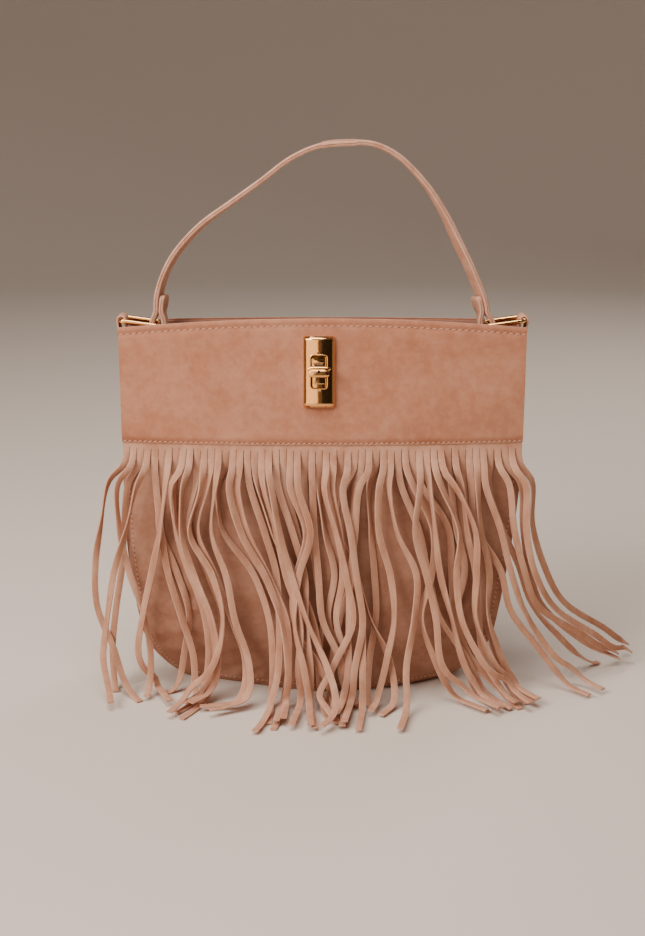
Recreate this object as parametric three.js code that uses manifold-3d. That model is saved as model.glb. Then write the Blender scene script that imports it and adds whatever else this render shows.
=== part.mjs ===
// Suede shoulder bag with a long fringe, a turn lock and a strap handle on two metal rings.
// Millimetres, +Z up, the front faces -Y, the origin is at the middle of the base on the ground.

import * as THREE from 'three';
import { mergeVertices } from 'three/addons/utils/BufferGeometryUtils.js';
import Module from 'manifold-3d';

const wasm = await Module();
wasm.setup();

// Body outline, seen from the front
const TOP_HALF_WIDTH = 135;
const SEAM_HALF_WIDTH = 134;
const CORNER_HEIGHT = 252;
const BAND_HEIGHT = 76;
const SEAM_HEIGHT = CORNER_HEIGHT - BAND_HEIGHT;
const FRONT_ARCH = 6;
const BACK_ARCH = 1.5;
const SIDE_TAPER = 22;
const CORNER_RISE = 46;
const CORNER_RUN = 26;
const LOWER_SHIFT = 3;
const SHIFT_SPAN = 105;

// Half depths of the outer faces, at the side seams and at the middle
const BAND_EDGE_AT_TOP = 17;
const BAND_EDGE_AT_SEAM = 25;
const BAND_MID_AT_TOP = 18;
const BAND_MID_AT_SEAM = 33.5;
const PANEL_EDGE_BELLY = 38;
const PANEL_EDGE_AT_BASE = 24;
const PANEL_MID_BELLY = 52;
const PANEL_MID_AT_BASE = 37;
const GUSSET_PUFF = 1.5;

// Layers of the walls, counted inwards from the band's outer face
const GAP = 0.3;
const BAND_THICKNESS = 1.6;
const STIFFENER_THICKNESS = 1.4;
const PANEL_THICKNESS = 1.4;
const GUSSET_THICKNESS = 1.6;
const LINING_THICKNESS = 0.7;
const LINING_GAP = 0.5;
const BOARD_THICKNESS = 1.8;
const BOARD_MARGIN = 4;
const SEAM_OVERLAP = 8;
const GUSSET_DROP = 6;
const STIFFENER_DROP = 4;
const FACING_DROP = 0.8;
const FACING_SIDE_GAP = 0.6;
const LINING_LAP = 6;

// Fringe
const FRINGE_THICKNESS = 1.2;
const SLIT_WIDTH = 0.35;
const SLIT_DROP = 5.5;
const STRAND_STEPS = 12;
const LAYER_STEP = 2.2;
const FRINGE_CLEARANCE = 0.9;
const END_TRIM = 0.05;
const FLOOR_CLEARANCE = 0.6;
const GROUND_STEP = 1.25;
const HEM_LIFT = 5;
const CURL_LIFT = 3;
const GLIDE_RUN = 36;
const GLIDE_LIFT = 11;
const LONGEST_STRAND = 207;
const TURN_SPAN = 27;
const TURN_LIFT = 1.5;

// Rings and their suede tabs
const WIRE_RADIUS = 1.6;
const RING_LENGTH = 25;
const RING_WIDTH = 17;
const RING_CORNER = 2.3;
const RING_REST_TILT = 8;
const RING_RISE = 9.2;
const TAB_WIDTH = 12;
const TAB_THICKNESS = 1.4;
const TAB_LEG = 29;
const TAB_GAP = 0.35;

// Handle strap
const STRAP_WIDTH = 11.6;
const STRAP_THICKNESS = 3.4;
const STRAP_PLY_GAP = 0.3;
const EYE_RADIUS = 2.8;
const EYE_OFFSET = 0.5;
const EYE_NECK = 8.5;
const TAIL_LENGTH = 20;
const LEFT_TILT = 8;
const RIGHT_TILT = 18;
const HANDLE_RISE = 118.4;

// The strap's middle line between its loops, chosen by eye: across as shares of the distance
// from the middle to a ring's inner bar, and up as shares of the handle's rise above the bars
const HANDLE_ARCH = [
  [-0.956, 0.281],
  [-0.881, 0.402],
  [-0.73, 0.553],
  [-0.543, 0.679],
  [-0.367, 0.795],
  [-0.185, 0.918],
  [-0.016, 0.984],
  [0.136, 1],
  [0.304, 0.992],
  [0.446, 0.93],
  [0.603, 0.79],
  [0.724, 0.625],
  [0.812, 0.465],
  [0.891, 0.32],
];

// Turn lock, in its own frame: x across, y up along the band, z out of the band
const LOCK_X = -2.3;
const LOCK_DROP = 28;
const PLATE_WIDTH = 20.6;
const PLATE_LENGTH = 46.5;
const PLATE_SIDE = 1.8;
const PLATE_CROWN = 5.6;
const PLATE_BEVEL = 1.7;
const PLATE_BEVEL_DROP = 1.5;
const PLATE_WALL = 1;
const WINDOW_WIDTH = 10.4;
const WINDOW_LENGTH = 21;
const WINDOW_CORNER = 1.6;
const LIP_WIDTH = 0.9;
const LIP_RISE = 0.4;
const LIP_DEPTH = 3;
const PRONG_X = 4;
const PRONG_WIDTH = 3;
const PRONG_THICKNESS = 0.8;
const PRONG_FOLD = 3.4;
const PRONG_FOLD_THICKNESS = 0.5;
const SLOT_MARGIN = 0.3;
const BACK_PLATE_WIDTH = 15;
const BACK_PLATE_THICKNESS = 0.6;
const BOSS_WIDTH = 7.6;
const BOSS_LENGTH = 16.4;
const BOSS_TOP = 5.2;
const BOSS_WALL = 0.8;
const FLANGE_BOTTOM = 0.4;
const FLANGE_THICKNESS = 0.6;
const SPRING_WIDTH = 4.8;
const SPRING_LENGTH = 13.6;
const SPRING_THICKNESS = 0.4;
const CAM_SIDE = 4;
const CAM_THICKNESS = 1.2;
const SHANK_RADIUS = 1.9;
const PIN_TIP_RADIUS = 1;
const PIN_TIP_SINK = 0.5;
const KNOB_CLEARANCE = 0.4;
const WING_LENGTH = 16;
const WING_WIDTH = 3.4;
const WING_HEIGHT = 2.3;
const KNOB_LENGTH = 13.2;
const KNOB_WIDTH = 5.2;
const KNOB_HEIGHT = 3.8;

// Steps of the grids
const ACROSS_STEPS = 16;
const CORNER_STEPS = 6;
const SIDE_STEPS = 6;
const WIRE_SIDES = 8;

// Heights and layer depths worked out from the sizes above
const GUSSET_TOP = CORNER_HEIGHT - GUSSET_DROP;
const RING_PIVOT_HEIGHT = GUSSET_TOP + RING_RISE;
const LOCK_HEIGHT = CORNER_HEIGHT - LOCK_DROP;
const STIFFENER_LAYER = BAND_THICKNESS + GAP;
const PANEL_LAYER = STIFFENER_LAYER + STIFFENER_THICKNESS + GAP;
const FACING_BOTTOM = SEAM_HEIGHT + SEAM_OVERLAP + 3 * GAP;
const LOWER_SEAM_TOP = SEAM_HEIGHT + SEAM_OVERLAP;

const suede = () => material('suede', 0xc08d76, 0.95, 0);
const liningCloth = () => material('lining_cloth', 0xb59a82, 0.9, 0);
const board = () => material('board', 0x8d8072, 0.9, 0);
const goldMetal = () => material('gold_metal', 0xdca46b, 0.2, 1);
const steel = () => material('steel', 0x9a9a98, 0.35, 1);

function material(name, color, roughness, metalness) {
  const made = new THREE.MeshStandardMaterial({ color, roughness, metalness });
  made.name = name;
  return made;
}

function mix(a, b, t) {
  return a + (b - a) * t;
}

function smooth(t) {
  const s = Math.min(Math.max(t, 0), 1);
  return s * s * (3 - 2 * s);
}

function bend(start, control, end, t) {
  return (1 - t) * (1 - t) * start + 2 * t * (1 - t) * control + t * t * end;
}

// Closed geometry from points and triangles, with its faces turned outwards
function closedGeometry(points, triangles) {
  let volume = 0;
  for (const [a, b, c] of triangles) {
    volume += points[a].dot(points[b].clone().cross(points[c]));
  }
  const geometry = new THREE.BufferGeometry();
  const numbers = points.flatMap((p) => [p.x, p.y, p.z]);
  geometry.setAttribute('position', new THREE.Float32BufferAttribute(numbers, 3));
  geometry.setIndex(triangles.flatMap(([a, b, c]) => (volume > 0 ? [a, b, c] : [a, c, b])));
  geometry.computeVertexNormals();
  return geometry;
}

// A wall between two grids of the same size, closed along its four edges
function wall(outer, inner) {
  const rows = outer.length;
  const columns = outer[0].length;
  const points = [...outer.flat(), ...inner.flat()];
  const triangles = [];
  const front = (i, j) => i * columns + j;
  const back = (i, j) => rows * columns + i * columns + j;
  const quad = (a, b, c, d) => triangles.push([a, b, c], [a, c, d]);
  for (let i = 0; i + 1 < rows; i += 1) {
    for (let j = 0; j + 1 < columns; j += 1) {
      quad(front(i, j), front(i, j + 1), front(i + 1, j + 1), front(i + 1, j));
      quad(back(i, j), back(i + 1, j), back(i + 1, j + 1), back(i, j + 1));
    }
    quad(front(i, 0), front(i + 1, 0), back(i + 1, 0), back(i, 0));
    quad(front(i, columns - 1), back(i, columns - 1), back(i + 1, columns - 1), front(i + 1, columns - 1));
  }
  for (let j = 0; j + 1 < columns; j += 1) {
    quad(front(0, j), back(0, j), back(0, j + 1), front(0, j + 1));
    quad(front(rows - 1, j), front(rows - 1, j + 1), back(rows - 1, j + 1), back(rows - 1, j));
  }
  return closedGeometry(points, triangles);
}

// A solid through closed rings of points, with a flat fan at each end or joined end to end
function loft(rings, endToEnd = false) {
  const size = rings[0].length;
  const points = rings.flat();
  const triangles = [];
  const last = endToEnd ? rings.length : rings.length - 1;
  for (let i = 0; i < last; i += 1) {
    const next = (i + 1) % rings.length;
    for (let j = 0; j < size; j += 1) {
      const k = (j + 1) % size;
      triangles.push([i * size + j, i * size + k, next * size + k]);
      triangles.push([i * size + j, next * size + k, next * size + j]);
    }
  }
  if (!endToEnd) {
    const end = (rings.length - 1) * size;
    for (let j = 1; j + 1 < size; j += 1) {
      triangles.push([0, j + 1, j], [end, end + j, end + j + 1]);
    }
  }
  return closedGeometry(points, triangles);
}

// Joins and cuts
function toSolid(geometry) {
  const bare = geometry.clone();
  bare.deleteAttribute('normal');
  bare.deleteAttribute('uv');
  const merged = mergeVertices(bare, 1e-5);
  return new wasm.Manifold(new wasm.Mesh({
    numProp: 3,
    vertProperties: new Float32Array(merged.attributes.position.array),
    triVerts: new Uint32Array(merged.index.array),
  }));
}

function fromSolid(solid) {
  const mesh = solid.getMesh();
  const geometry = new THREE.BufferGeometry();
  geometry.setAttribute('position', new THREE.BufferAttribute(new Float32Array(mesh.vertProperties), 3));
  geometry.setIndex(new THREE.BufferAttribute(new Uint32Array(mesh.triVerts), 1));
  geometry.computeVertexNormals();
  return geometry;
}

function cut(base, ...tools) {
  return fromSolid(tools.reduce((solid, tool) => solid.subtract(toSolid(tool)), toSolid(base)));
}

function join(base, ...others) {
  return fromSolid(others.reduce((solid, other) => solid.add(toSolid(other)), toSolid(base)));
}

function block(x, y, z, width, length, height) {
  return new THREE.BoxGeometry(width, length, height).translate(x, y, z + height / 2);
}

function pillar(radius, bottom, top, sides = 20) {
  const height = top - bottom;
  return new THREE.CylinderGeometry(radius, radius, height, sides).rotateX(Math.PI / 2)
    .translate(0, 0, bottom + height / 2);
}

// Body surfaces
function bandPart(z) {
  return (z - SEAM_HEIGHT) / (CORNER_HEIGHT - SEAM_HEIGHT);
}

function halfWidth(z) {
  if (z >= SEAM_HEIGHT) {
    return mix(SEAM_HALF_WIDTH, TOP_HALF_WIDTH, bandPart(z));
  }
  const drop = (SEAM_HEIGHT - z) / SEAM_HEIGHT;
  const side = SEAM_HALF_WIDTH - SIDE_TAPER * drop * drop;
  if (z >= CORNER_RISE) {
    return side;
  }
  const below = (CORNER_RISE - z) / CORNER_RISE;
  return side - CORNER_RUN * (1 - Math.sqrt(1 - below * below));
}

function shift(z) {
  return -LOWER_SHIFT * smooth((SEAM_HEIGHT - z) / SHIFT_SPAN);
}

function bandDepth(u, z) {
  const edge = mix(BAND_EDGE_AT_SEAM, BAND_EDGE_AT_TOP, bandPart(z));
  const middle = mix(BAND_MID_AT_SEAM, BAND_MID_AT_TOP, bandPart(z));
  return edge + (middle - edge) * (1 - u * u);
}

function panelDepth(u, z) {
  if (z >= SEAM_HEIGHT) {
    return bandDepth(u, z) - PANEL_LAYER;
  }
  const drop = (SEAM_HEIGHT - z) / SEAM_HEIGHT;
  const edge = bend(BAND_EDGE_AT_SEAM - PANEL_LAYER, PANEL_EDGE_BELLY, PANEL_EDGE_AT_BASE, drop);
  const middle = bend(BAND_MID_AT_SEAM - PANEL_LAYER, PANEL_MID_BELLY, PANEL_MID_AT_BASE, drop);
  return edge + (middle - edge) * (1 - u * u);
}

function topHeight(u, arch) {
  return CORNER_HEIGHT + arch * (1 - u * u);
}

function steps(count) {
  return Array.from({ length: count + 1 }, (_, i) => i / count);
}

function lowerHeights() {
  const corner = steps(CORNER_STEPS).map((t) => CORNER_RISE * (1 - Math.cos((t * Math.PI) / 2)));
  const side = steps(SIDE_STEPS).slice(1).map((t) => mix(CORNER_RISE, SEAM_HEIGHT, t));
  return [...corner, ...side];
}

function acrossSteps() {
  return steps(ACROSS_STEPS).map((t) => 2 * t - 1);
}

// One layer of a band, from a lower height up to a drop below the arched top edge
function bandLayer(side, arch, layer, thickness, bottom, drop, sideInset) {
  const grid = (depth) => steps(1).map((v) => acrossSteps().map((u) => {
    const z = mix(bottom, topHeight(u, arch) - drop, v);
    const x = u * (halfWidth(z) - sideInset);
    return new THREE.Vector3(x, side * (bandDepth(u, z) - depth), z);
  }));
  return wall(grid(layer), grid(layer + thickness));
}

function band(side, arch) {
  return bandLayer(side, arch, 0, BAND_THICKNESS, SEAM_HEIGHT, 0, 0);
}

function stiffener(side, arch) {
  const inset = GUSSET_THICKNESS + FACING_SIDE_GAP;
  return bandLayer(side, arch, STIFFENER_LAYER, STIFFENER_THICKNESS, FACING_BOTTOM, STIFFENER_DROP, inset);
}

function facing(side, arch) {
  const inset = GUSSET_THICKNESS + FACING_SIDE_GAP;
  return bandLayer(side, arch, PANEL_LAYER, PANEL_THICKNESS, FACING_BOTTOM, FACING_DROP, inset);
}

function panel(side) {
  const heights = [...lowerHeights(), LOWER_SEAM_TOP];
  const grid = (inwards) => heights.map((z) => acrossSteps().map((u) => new THREE.Vector3(
    shift(z) + u * halfWidth(z),
    side * (panelDepth(u, z) - inwards),
    Math.max(z, GAP),
  )));
  return wall(grid(0), grid(PANEL_THICKNESS));
}

function wallInside(u, z) {
  return z < FACING_BOTTOM ? panelDepth(u, z) - PANEL_THICKNESS : bandDepth(u, z) - BAND_THICKNESS;
}

// The gusset runs down one side, under the bag and up the other side
function gussetPath() {
  const lower = lowerHeights();
  const upper = [LOWER_SEAM_TOP + GAP, FACING_BOTTOM, GUSSET_TOP];
  const sidePoint = (u) => (z) => ({
    x: shift(z) + u * halfWidth(z),
    z,
    depth: wallInside(u, z) - GAP,
    puff: GUSSET_PUFF * Math.sin(Math.PI * Math.min(z / SEAM_HEIGHT, 1)),
  });
  const left = [...lower, ...upper].reverse().map(sidePoint(-1));
  const base = acrossSteps().slice(1, -1).map((u) => ({
    x: shift(0) + u * halfWidth(0),
    z: 0,
    depth: panelDepth(u, 0) - PANEL_THICKNESS - GAP,
    puff: 0,
  }));
  const right = [...lower, ...upper].map(sidePoint(1));
  return [...left, ...base, ...right];
}

function gusset() {
  const path = gussetPath();
  const normal = (i) => {
    const before = path[Math.max(i - 1, 0)];
    const after = path[Math.min(i + 1, path.length - 1)];
    const level = path[i].z === 0 ? 1 : 0;
    const along = new THREE.Vector2(after.x - before.x, after.z - before.z).normalize();
    return level ? new THREE.Vector2(0, -1) : new THREE.Vector2(along.y, -along.x);
  };
  const grid = (inwards) => path.map((point, i) => [-1, 0, 1].map((v) => {
    const out = normal(i);
    const offset = point.puff * (1 - v * v) - inwards;
    return new THREE.Vector3(point.x + out.x * offset, v * point.depth, point.z + out.y * offset);
  }));
  return wall(grid(0), grid(GUSSET_THICKNESS));
}

// The lining is a pouch: rings around the hollow from the bottom up, outside then inside
function liningRing(z, inwards) {
  const lift = GUSSET_THICKNESS + GAP + BOARD_THICKNESS + GAP;
  const source = Math.max(z - lift, 0);
  const half = halfWidth(source) - GUSSET_THICKNESS - LINING_GAP - inwards;
  const shell = (u) => Math.min(panelDepth(u, source), panelDepth(u, z));
  const depth = (u) => shell(u) - PANEL_THICKNESS - LINING_GAP - inwards;
  const across = steps(ACROSS_STEPS / 2).map((t) => 2 * t - 1);
  const centre = shift(source);
  const front = across.map((u) => new THREE.Vector3(centre + u * half, -depth(u), z));
  const back = across.map((u) => new THREE.Vector3(centre - u * half, depth(u), z));
  return [...front, ...back];
}

function lining() {
  const lift = GUSSET_THICKNESS + GAP + BOARD_THICKNESS + GAP;
  const rim = FACING_BOTTOM + LINING_LAP;
  const heights = lowerHeights().map((z) => z + lift).filter((z) => z < SEAM_HEIGHT);
  const levels = [...heights, rim];
  const outer = levels.map((z) => liningRing(z, 0));
  const inner = levels.map((z, i) => liningRing(i === 0 ? z + LINING_THICKNESS : z, LINING_THICKNESS));
  return loft([...outer, ...inner.reverse()]);
}

function baseBoard() {
  const bottom = GUSSET_THICKNESS + GAP;
  const half = halfWidth(0) - BOARD_MARGIN;
  const inset = PANEL_THICKNESS + LINING_GAP + BOARD_MARGIN;
  const edge = acrossSteps().map((u) => new THREE.Vector2(shift(0) + u * half, panelDepth(u, 0) - inset));
  const mirrored = edge.map((p) => new THREE.Vector2(2 * shift(0) - p.x, -p.y));
  const outline = new THREE.Shape([...edge, ...mirrored]);
  return new THREE.ExtrudeGeometry(outline, { depth: BOARD_THICKNESS, bevelEnabled: false })
    .translate(0, 0, bottom);
}

// The strands, chosen by eye: where each passes at five heights and ends, as shares of the seam's
// half width, how far forward it ends as a share of the seam's height, its layer and how many
// degrees it turns edge on. Where its tail curls on the ground, the place it passes comes last
const GUIDE_HEIGHTS = [0.852, 0.682, 0.511, 0.341, 0.17];
const STRANDS = [
  [-1.07, -1.12, -1.16, -1.16, -1.08, -0.93, -0.31, 0, 80],
  [-1.02, -1.02, -0.98, -0.91, -0.88, -0.9, -0.3, 2.25, 60],
  [-0.97, -1, -1.02, -1.06, -1.09, -1.07, -0.22, 0, 30],
  [-0.92, -0.98, -1.05, -1.09, -1.12, -1.06, -0.39, 4.5, 80],
  [-0.83, -0.81, -0.78, -0.72, -0.66, -0.64, -0.31, 1.5, 8],
  [-0.8, -0.82, -0.74, -0.68, -0.71, -0.82, -0.23, 0, 30],
  [-0.78, -0.81, -0.86, -0.91, -0.94, -0.77, -0.35, 3, -70, -0.87, -0.2],
  [-0.74, -0.73, -0.67, -0.6, -0.58, -0.73, -0.41, 0, 70, -0.62, -0.29],
  [-0.75, -0.73, -0.66, -0.57, -0.54, -0.7, -0.38, 3.75, -80, -0.6, -0.29],
  [-0.69, -0.7, -0.64, -0.55, -0.53, -0.66, -0.39, 4.5, 80, -0.56, -0.3],
  [-0.63, -0.67, -0.58, -0.51, -0.53, -0.7, -0.46, 0, -60, -0.59, -0.31],
  [-0.6, -0.66, -0.55, -0.5, -0.55, -0.79, -0.51, 3.75, 80, -0.68, -0.33],
  [-0.57, -0.62, -0.54, -0.46, -0.39, -0.64, -0.39, 2.25, -80, -0.42, -0.36],
  [-0.53, -0.55, -0.48, -0.44, -0.37, -0.56, -0.44, 3.75, -80, -0.38, -0.37],
  [-0.52, -0.5, -0.35, -0.27, -0.25, -0.27, -0.63, 0, 75, -0.26, -0.35],
  [-0.46, -0.4, -0.28, -0.2, -0.17, -0.2, -0.66, 4.5, 35, -0.18, -0.36],
  [-0.42, -0.37, -0.27, -0.18, -0.17, -0.24, -0.58, 3.25, -40, -0.19, -0.35],
  [-0.36, -0.29, -0.23, -0.22, -0.22, -0.33, -0.59, 1.5, 20],
  [-0.32, -0.25, -0.14, -0.05, 0, 0.07, -0.54, 0.75, 85, 0.05, -0.35],
  [-0.29, -0.23, -0.18, -0.11, -0.12, -0.17, -0.64, 3, -60, -0.11, -0.37],
  [-0.25, -0.21, -0.15, -0.07, 0.03, -0.06, -0.66, 4.5, 40, 0.06, -0.5],
  [-0.22, -0.15, -0.09, -0.08, -0.06, -0.02, -0.68, 1.5, 5, -0.06, -0.37],
  [-0.19, -0.13, -0.1, -0.15, -0.16, -0.26, -0.62, 0, 15, -0.19, -0.36],
  [-0.16, -0.08, -0.13, -0.15, -0.02, 0.04, -0.51, 2.5, 20, 0.06, -0.35],
  [-0.12, -0.06, -0.12, -0.14, -0.09, -0.05, -0.66, 3.75, 0, -0.07, -0.38],
  [-0.09, -0.06, -0.03, 0, -0.02, 0.03, -0.47, 0, 20],
  [-0.05, -0.04, -0.02, 0, 0.1, 0.09, -0.58, 1.5, 8, 0.12, -0.35],
  [-0.02, 0.01, 0.06, 0.03, 0.08, 0.18, -0.35, 0, 75],
  [0.01, 0.07, 0.12, 0.15, 0.05, 0.05, -0.51, 4.75, -50, -0.01, -0.37],
  [0.05, 0.09, 0.1, 0.07, 0.13, 0.17, -0.38, 3, -60],
  [0.09, 0.11, 0.15, 0.09, 0.05, 0.01, -0.41, 0, 0],
  [0.1, 0.14, 0.17, 0.2, 0.16, 0.1, -0.58, 5, 15, 0.15, -0.36],
  [0.11, 0.09, 0.16, 0.2, 0.2, 0.15, -0.74, 1.5, -75, 0.2, -0.4],
  [0.16, 0.15, 0.17, 0.24, 0.34, 0.29, -0.44, 0.75, -60, 0.36, -0.36],
  [0.18, 0.16, 0.14, 0.13, 0.13, 0.07, -0.47, 4, 0],
  [0.23, 0.24, 0.26, 0.27, 0.24, 0.25, -0.38, 0, 70, 0.23, -0.34],
  [0.28, 0.28, 0.34, 0.36, 0.32, 0.24, -0.44, 3, 20, 0.28, -0.35],
  [0.33, 0.37, 0.47, 0.46, 0.42, 0.35, -0.67, 2.25, -70, 0.42, -0.42],
  [0.39, 0.48, 0.53, 0.59, 0.73, 1.02, -0.45, 0.75, 20, 0.83, -0.27],
  [0.45, 0.55, 0.55, 0.5, 0.57, 0.87, -0.44, 1.5, 50, 0.66, -0.3],
  [0.49, 0.63, 0.65, 0.67, 0.75, 1.03, -0.42, 0, -25, 0.92, -0.27],
  [0.48, 0.46, 0.52, 0.57, 0.6, 0.93, -0.47, 4.75, 30, 0.72, -0.31],
  [0.53, 0.56, 0.59, 0.65, 0.71, 0.9, -0.41, 3, -70, 0.79, -0.28],
  [0.59, 0.68, 0.67, 0.7, 0.81, 1.1, -0.48, 5, 65, 0.95, -0.27],
  [0.66, 0.76, 0.77, 0.77, 0.86, 1.11, -0.38, 5, -60, 0.97, -0.24],
  [0.64, 0.67, 0.72, 0.68, 0.73, 0.84, -0.31, 0, 30],
  [0.69, 0.72, 0.77, 0.79, 0.82, 0.98, -0.36, 2.75, -60],
  [0.71, 0.74, 0.81, 0.83, 0.89, 1.04, -0.33, 0, 50],
  [0.74, 0.77, 0.9, 0.96, 1.12, 1.42, -0.31, 1.5, -30, 1.26, -0.2],
  [0.77, 0.79, 0.84, 0.84, 0.91, 1.07, -0.35, 3, 50, 0.99, -0.23],
  [0.81, 0.89, 0.95, 1.03, 1.17, 1.49, -0.28, 3, -20, 1.34, -0.16],
  [0.83, 0.9, 1, 1.08, 1.25, 1.53, 0.08, 0, 60],
  [0.93, 0.96, 1.02, 1.11, 1.39, 1.71, 0.12, 2.25, -30],
  [0.99, 1.01, 1.05, 1.13, 1.34, 1.73, 0.1, 0.75, 30],
  [1.01, 1.02, 1.07, 1.19, 1.46, 1.76, 0.11, 3.75, -35],
  [1.05, 1.06, 1.13, 1.25, 1.52, 1.81, 0.26, 0.75, 50],
];

function scatter(i) {
  const value = Math.sin(i * 12.9898) * 43758.5453;
  return value - Math.floor(value);
}

function guideHeight(k) {
  return SEAM_HEIGHT * GUIDE_HEIGHTS[k];
}

function slitHeight() {
  return SEAM_HEIGHT - SLIT_DROP;
}

function hangDepth(x, z) {
  const u = (x - shift(z)) / halfWidth(z);
  const over = Math.max(Math.abs(u) - 1, 0);
  return panelDepth(Math.min(Math.max(u, -1), 1), z) * (1 - Math.min(over, 1));
}

// The line that a strand follows, before its layer moves it outwards
function strandCurve(row, start) {
  const passes = row.slice(0, 5).map((share) => SEAM_HALF_WIDTH * share);
  const ground = FLOOR_CLEARANCE + FRINGE_THICKNESS / 2;
  const end = new THREE.Vector3(SEAM_HALF_WIDTH * row[5], SEAM_HEIGHT * row[6], ground);
  const clear = FRINGE_CLEARANCE + FRINGE_THICKNESS / 2;
  const top = slitHeight();
  const nearX = mix(start, passes[0], 0.15);
  const nearZ = mix(top, guideHeight(0), 0.45);
  const points = [
    new THREE.Vector3(start, -headerDepth(start, top), top),
    new THREE.Vector3(nearX, -headerDepth(start, nearZ), nearZ),
  ];
  passes.forEach((x, k) => {
    const z = guideHeight(k);
    const reach = [0, 0, 0, 0.08, 0.24][k];
    points.push(new THREE.Vector3(x, mix(-hangDepth(x, z) - clear, end.y, reach), z));
  });
  const hem = points[points.length - 1];
  if (row.length > 9) {
    const curl = new THREE.Vector3(SEAM_HALF_WIDTH * row[9], SEAM_HEIGHT * row[10], ground + CURL_LIFT);
    points.push(curl, new THREE.Vector3(mix(curl.x, end.x, 0.55), mix(curl.y, end.y, 0.55), ground));
  } else {
    const glide = smooth((end.x - hem.x) / GLIDE_RUN);
    points.push(new THREE.Vector3(
      mix(hem.x, end.x, 0.35 + 0.07 * glide),
      mix(hem.y, end.y, 0.4),
      ground + mix(HEM_LIFT, GLIDE_LIFT, glide),
    ));
    points.push(new THREE.Vector3(
      mix(hem.x, end.x, 0.68 + 0.1 * glide),
      mix(hem.y, end.y, 0.7),
      ground + glide,
    ));
  }
  points.push(end);
  return new THREE.CatmullRomCurve3(points, false, 'centripetal');
}

// Middle of the fringe's header, which is sewn between the band and the panel
function headerDepth(x, z) {
  const u = x / SEAM_HALF_WIDTH;
  const layer = STIFFENER_LAYER + FRINGE_THICKNESS / 2;
  const sewn = bandDepth(u, Math.max(z, SEAM_HEIGHT)) - layer;
  const hung = panelDepth(u, Math.min(z, SEAM_HEIGHT)) + PANEL_LAYER - layer;
  return z >= SEAM_HEIGHT ? sewn : hung;
}

// How far a strand is turned edge on at a height
function strandTurn(degrees, z) {
  const upper = Math.exp(-(((z - guideHeight(1)) / TURN_SPAN) ** 2));
  const hung = smooth((slitHeight() - z) / TURN_SPAN);
  return (degrees * upper * hung * Math.PI) / 180;
}

// Four corners of a strand's section at a part of its length
function strandSection(curve, row, width, t) {
  const centre = curve.getPointAt(t);
  const along = curve.getTangentAt(t);
  const lying = smooth(1 - centre.z / guideHeight(4));
  const out = new THREE.Vector3(0, -(1 - lying), lying).normalize();
  const across = along.clone().cross(out).normalize();
  const face = across.clone().cross(along).normalize();
  const turn = strandTurn(row[8], centre.z) * (1 - lying);
  const step = mix(LAYER_STEP, GROUND_STEP, lying);
  centre.addScaledVector(face, row[7] * step * smooth(t / 0.07) + TURN_LIFT * Math.abs(Math.sin(turn)));
  const wide = across.clone().multiplyScalar(Math.cos(turn)).addScaledVector(face, Math.sin(turn));
  const thick = face.clone().multiplyScalar(Math.cos(turn)).addScaledVector(across, -Math.sin(turn));
  const corner = (a, b) => centre.clone()
    .addScaledVector(wide, (a * width) / 2)
    .addScaledVector(thick, (b * FRINGE_THICKNESS) / 2);
  return [corner(1, 1), corner(-1, 1), corner(-1, -1), corner(1, -1)];
}

// The fringe is one strip of suede: a header with slits below it, cut through to the ends
function fringe() {
  const pitch = (2 * (SEAM_HALF_WIDTH - SLIT_WIDTH)) / STRANDS.length;
  const width = pitch - SLIT_WIDTH;
  const points = [];
  const triangles = [];
  const quad = (a, b, c, d) => triangles.push([a, b, c], [a, c, d]);
  const add = (p) => points.push(p) - 1;
  const headerColumn = (x, z) => [
    add(new THREE.Vector3(x, -headerDepth(x, z) - FRINGE_THICKNESS / 2, z)),
    add(new THREE.Vector3(x, -headerDepth(x, z) + FRINGE_THICKNESS / 2, z)),
  ];
  let previous = null;
  for (let k = 0; k < STRANDS.length; k += 1) {
    const start = (k + 0.5 - STRANDS.length / 2) * pitch;
    const left = start - width / 2;
    const right = start + width / 2;
    const columns = [left, right].map((x) => [
      headerColumn(x, LOWER_SEAM_TOP),
      headerColumn(x, SEAM_HEIGHT),
      headerColumn(x, slitHeight()),
    ]);
    const panelQuads = (a, b) => {
      for (let i = 0; i < 2; i += 1) {
        quad(a[i][0], a[i + 1][0], b[i + 1][0], b[i][0]);
        quad(a[i][1], b[i][1], b[i + 1][1], a[i + 1][1]);
      }
      quad(a[0][0], b[0][0], b[0][1], a[0][1]);
    };
    const sideQuads = (a, flip) => {
      for (let i = 0; i < 2; i += 1) {
        const loop = [a[i][0], a[i][1], a[i + 1][1], a[i + 1][0]];
        quad(...(flip ? loop.reverse() : loop));
      }
    };
    panelQuads(columns[0], columns[1]);
    if (previous) {
      panelQuads(previous, columns[0]);
      quad(previous[2][0], previous[2][1], columns[0][2][1], columns[0][2][0]);
    } else {
      sideQuads(columns[0], false);
    }
    previous = columns[1];
    if (k === STRANDS.length - 1) {
      sideQuads(columns[1], true);
    }
    const curve = strandCurve(STRANDS[k], start);
    const share = Math.min(1, LONGEST_STRAND / curve.getLength());
    let ring = [columns[0][2][0], columns[1][2][0], columns[1][2][1], columns[0][2][1]];
    for (let i = 1; i <= STRAND_STEPS; i += 1) {
      const trim = i === STRAND_STEPS ? 1 - END_TRIM * scatter(k + 1) : 1;
      const t = share * (i / STRAND_STEPS) * trim;
      const next = strandSection(curve, STRANDS[k], width, t).map(add);
      for (let j = 0; j < 4; j += 1) {
        const m = (j + 1) % 4;
        quad(ring[m], ring[j], next[j], next[m]);
      }
      ring = next;
    }
    quad(ring[3], ring[2], ring[1], ring[0]);
  }
  return closedGeometry(points, triangles);
}

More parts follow.
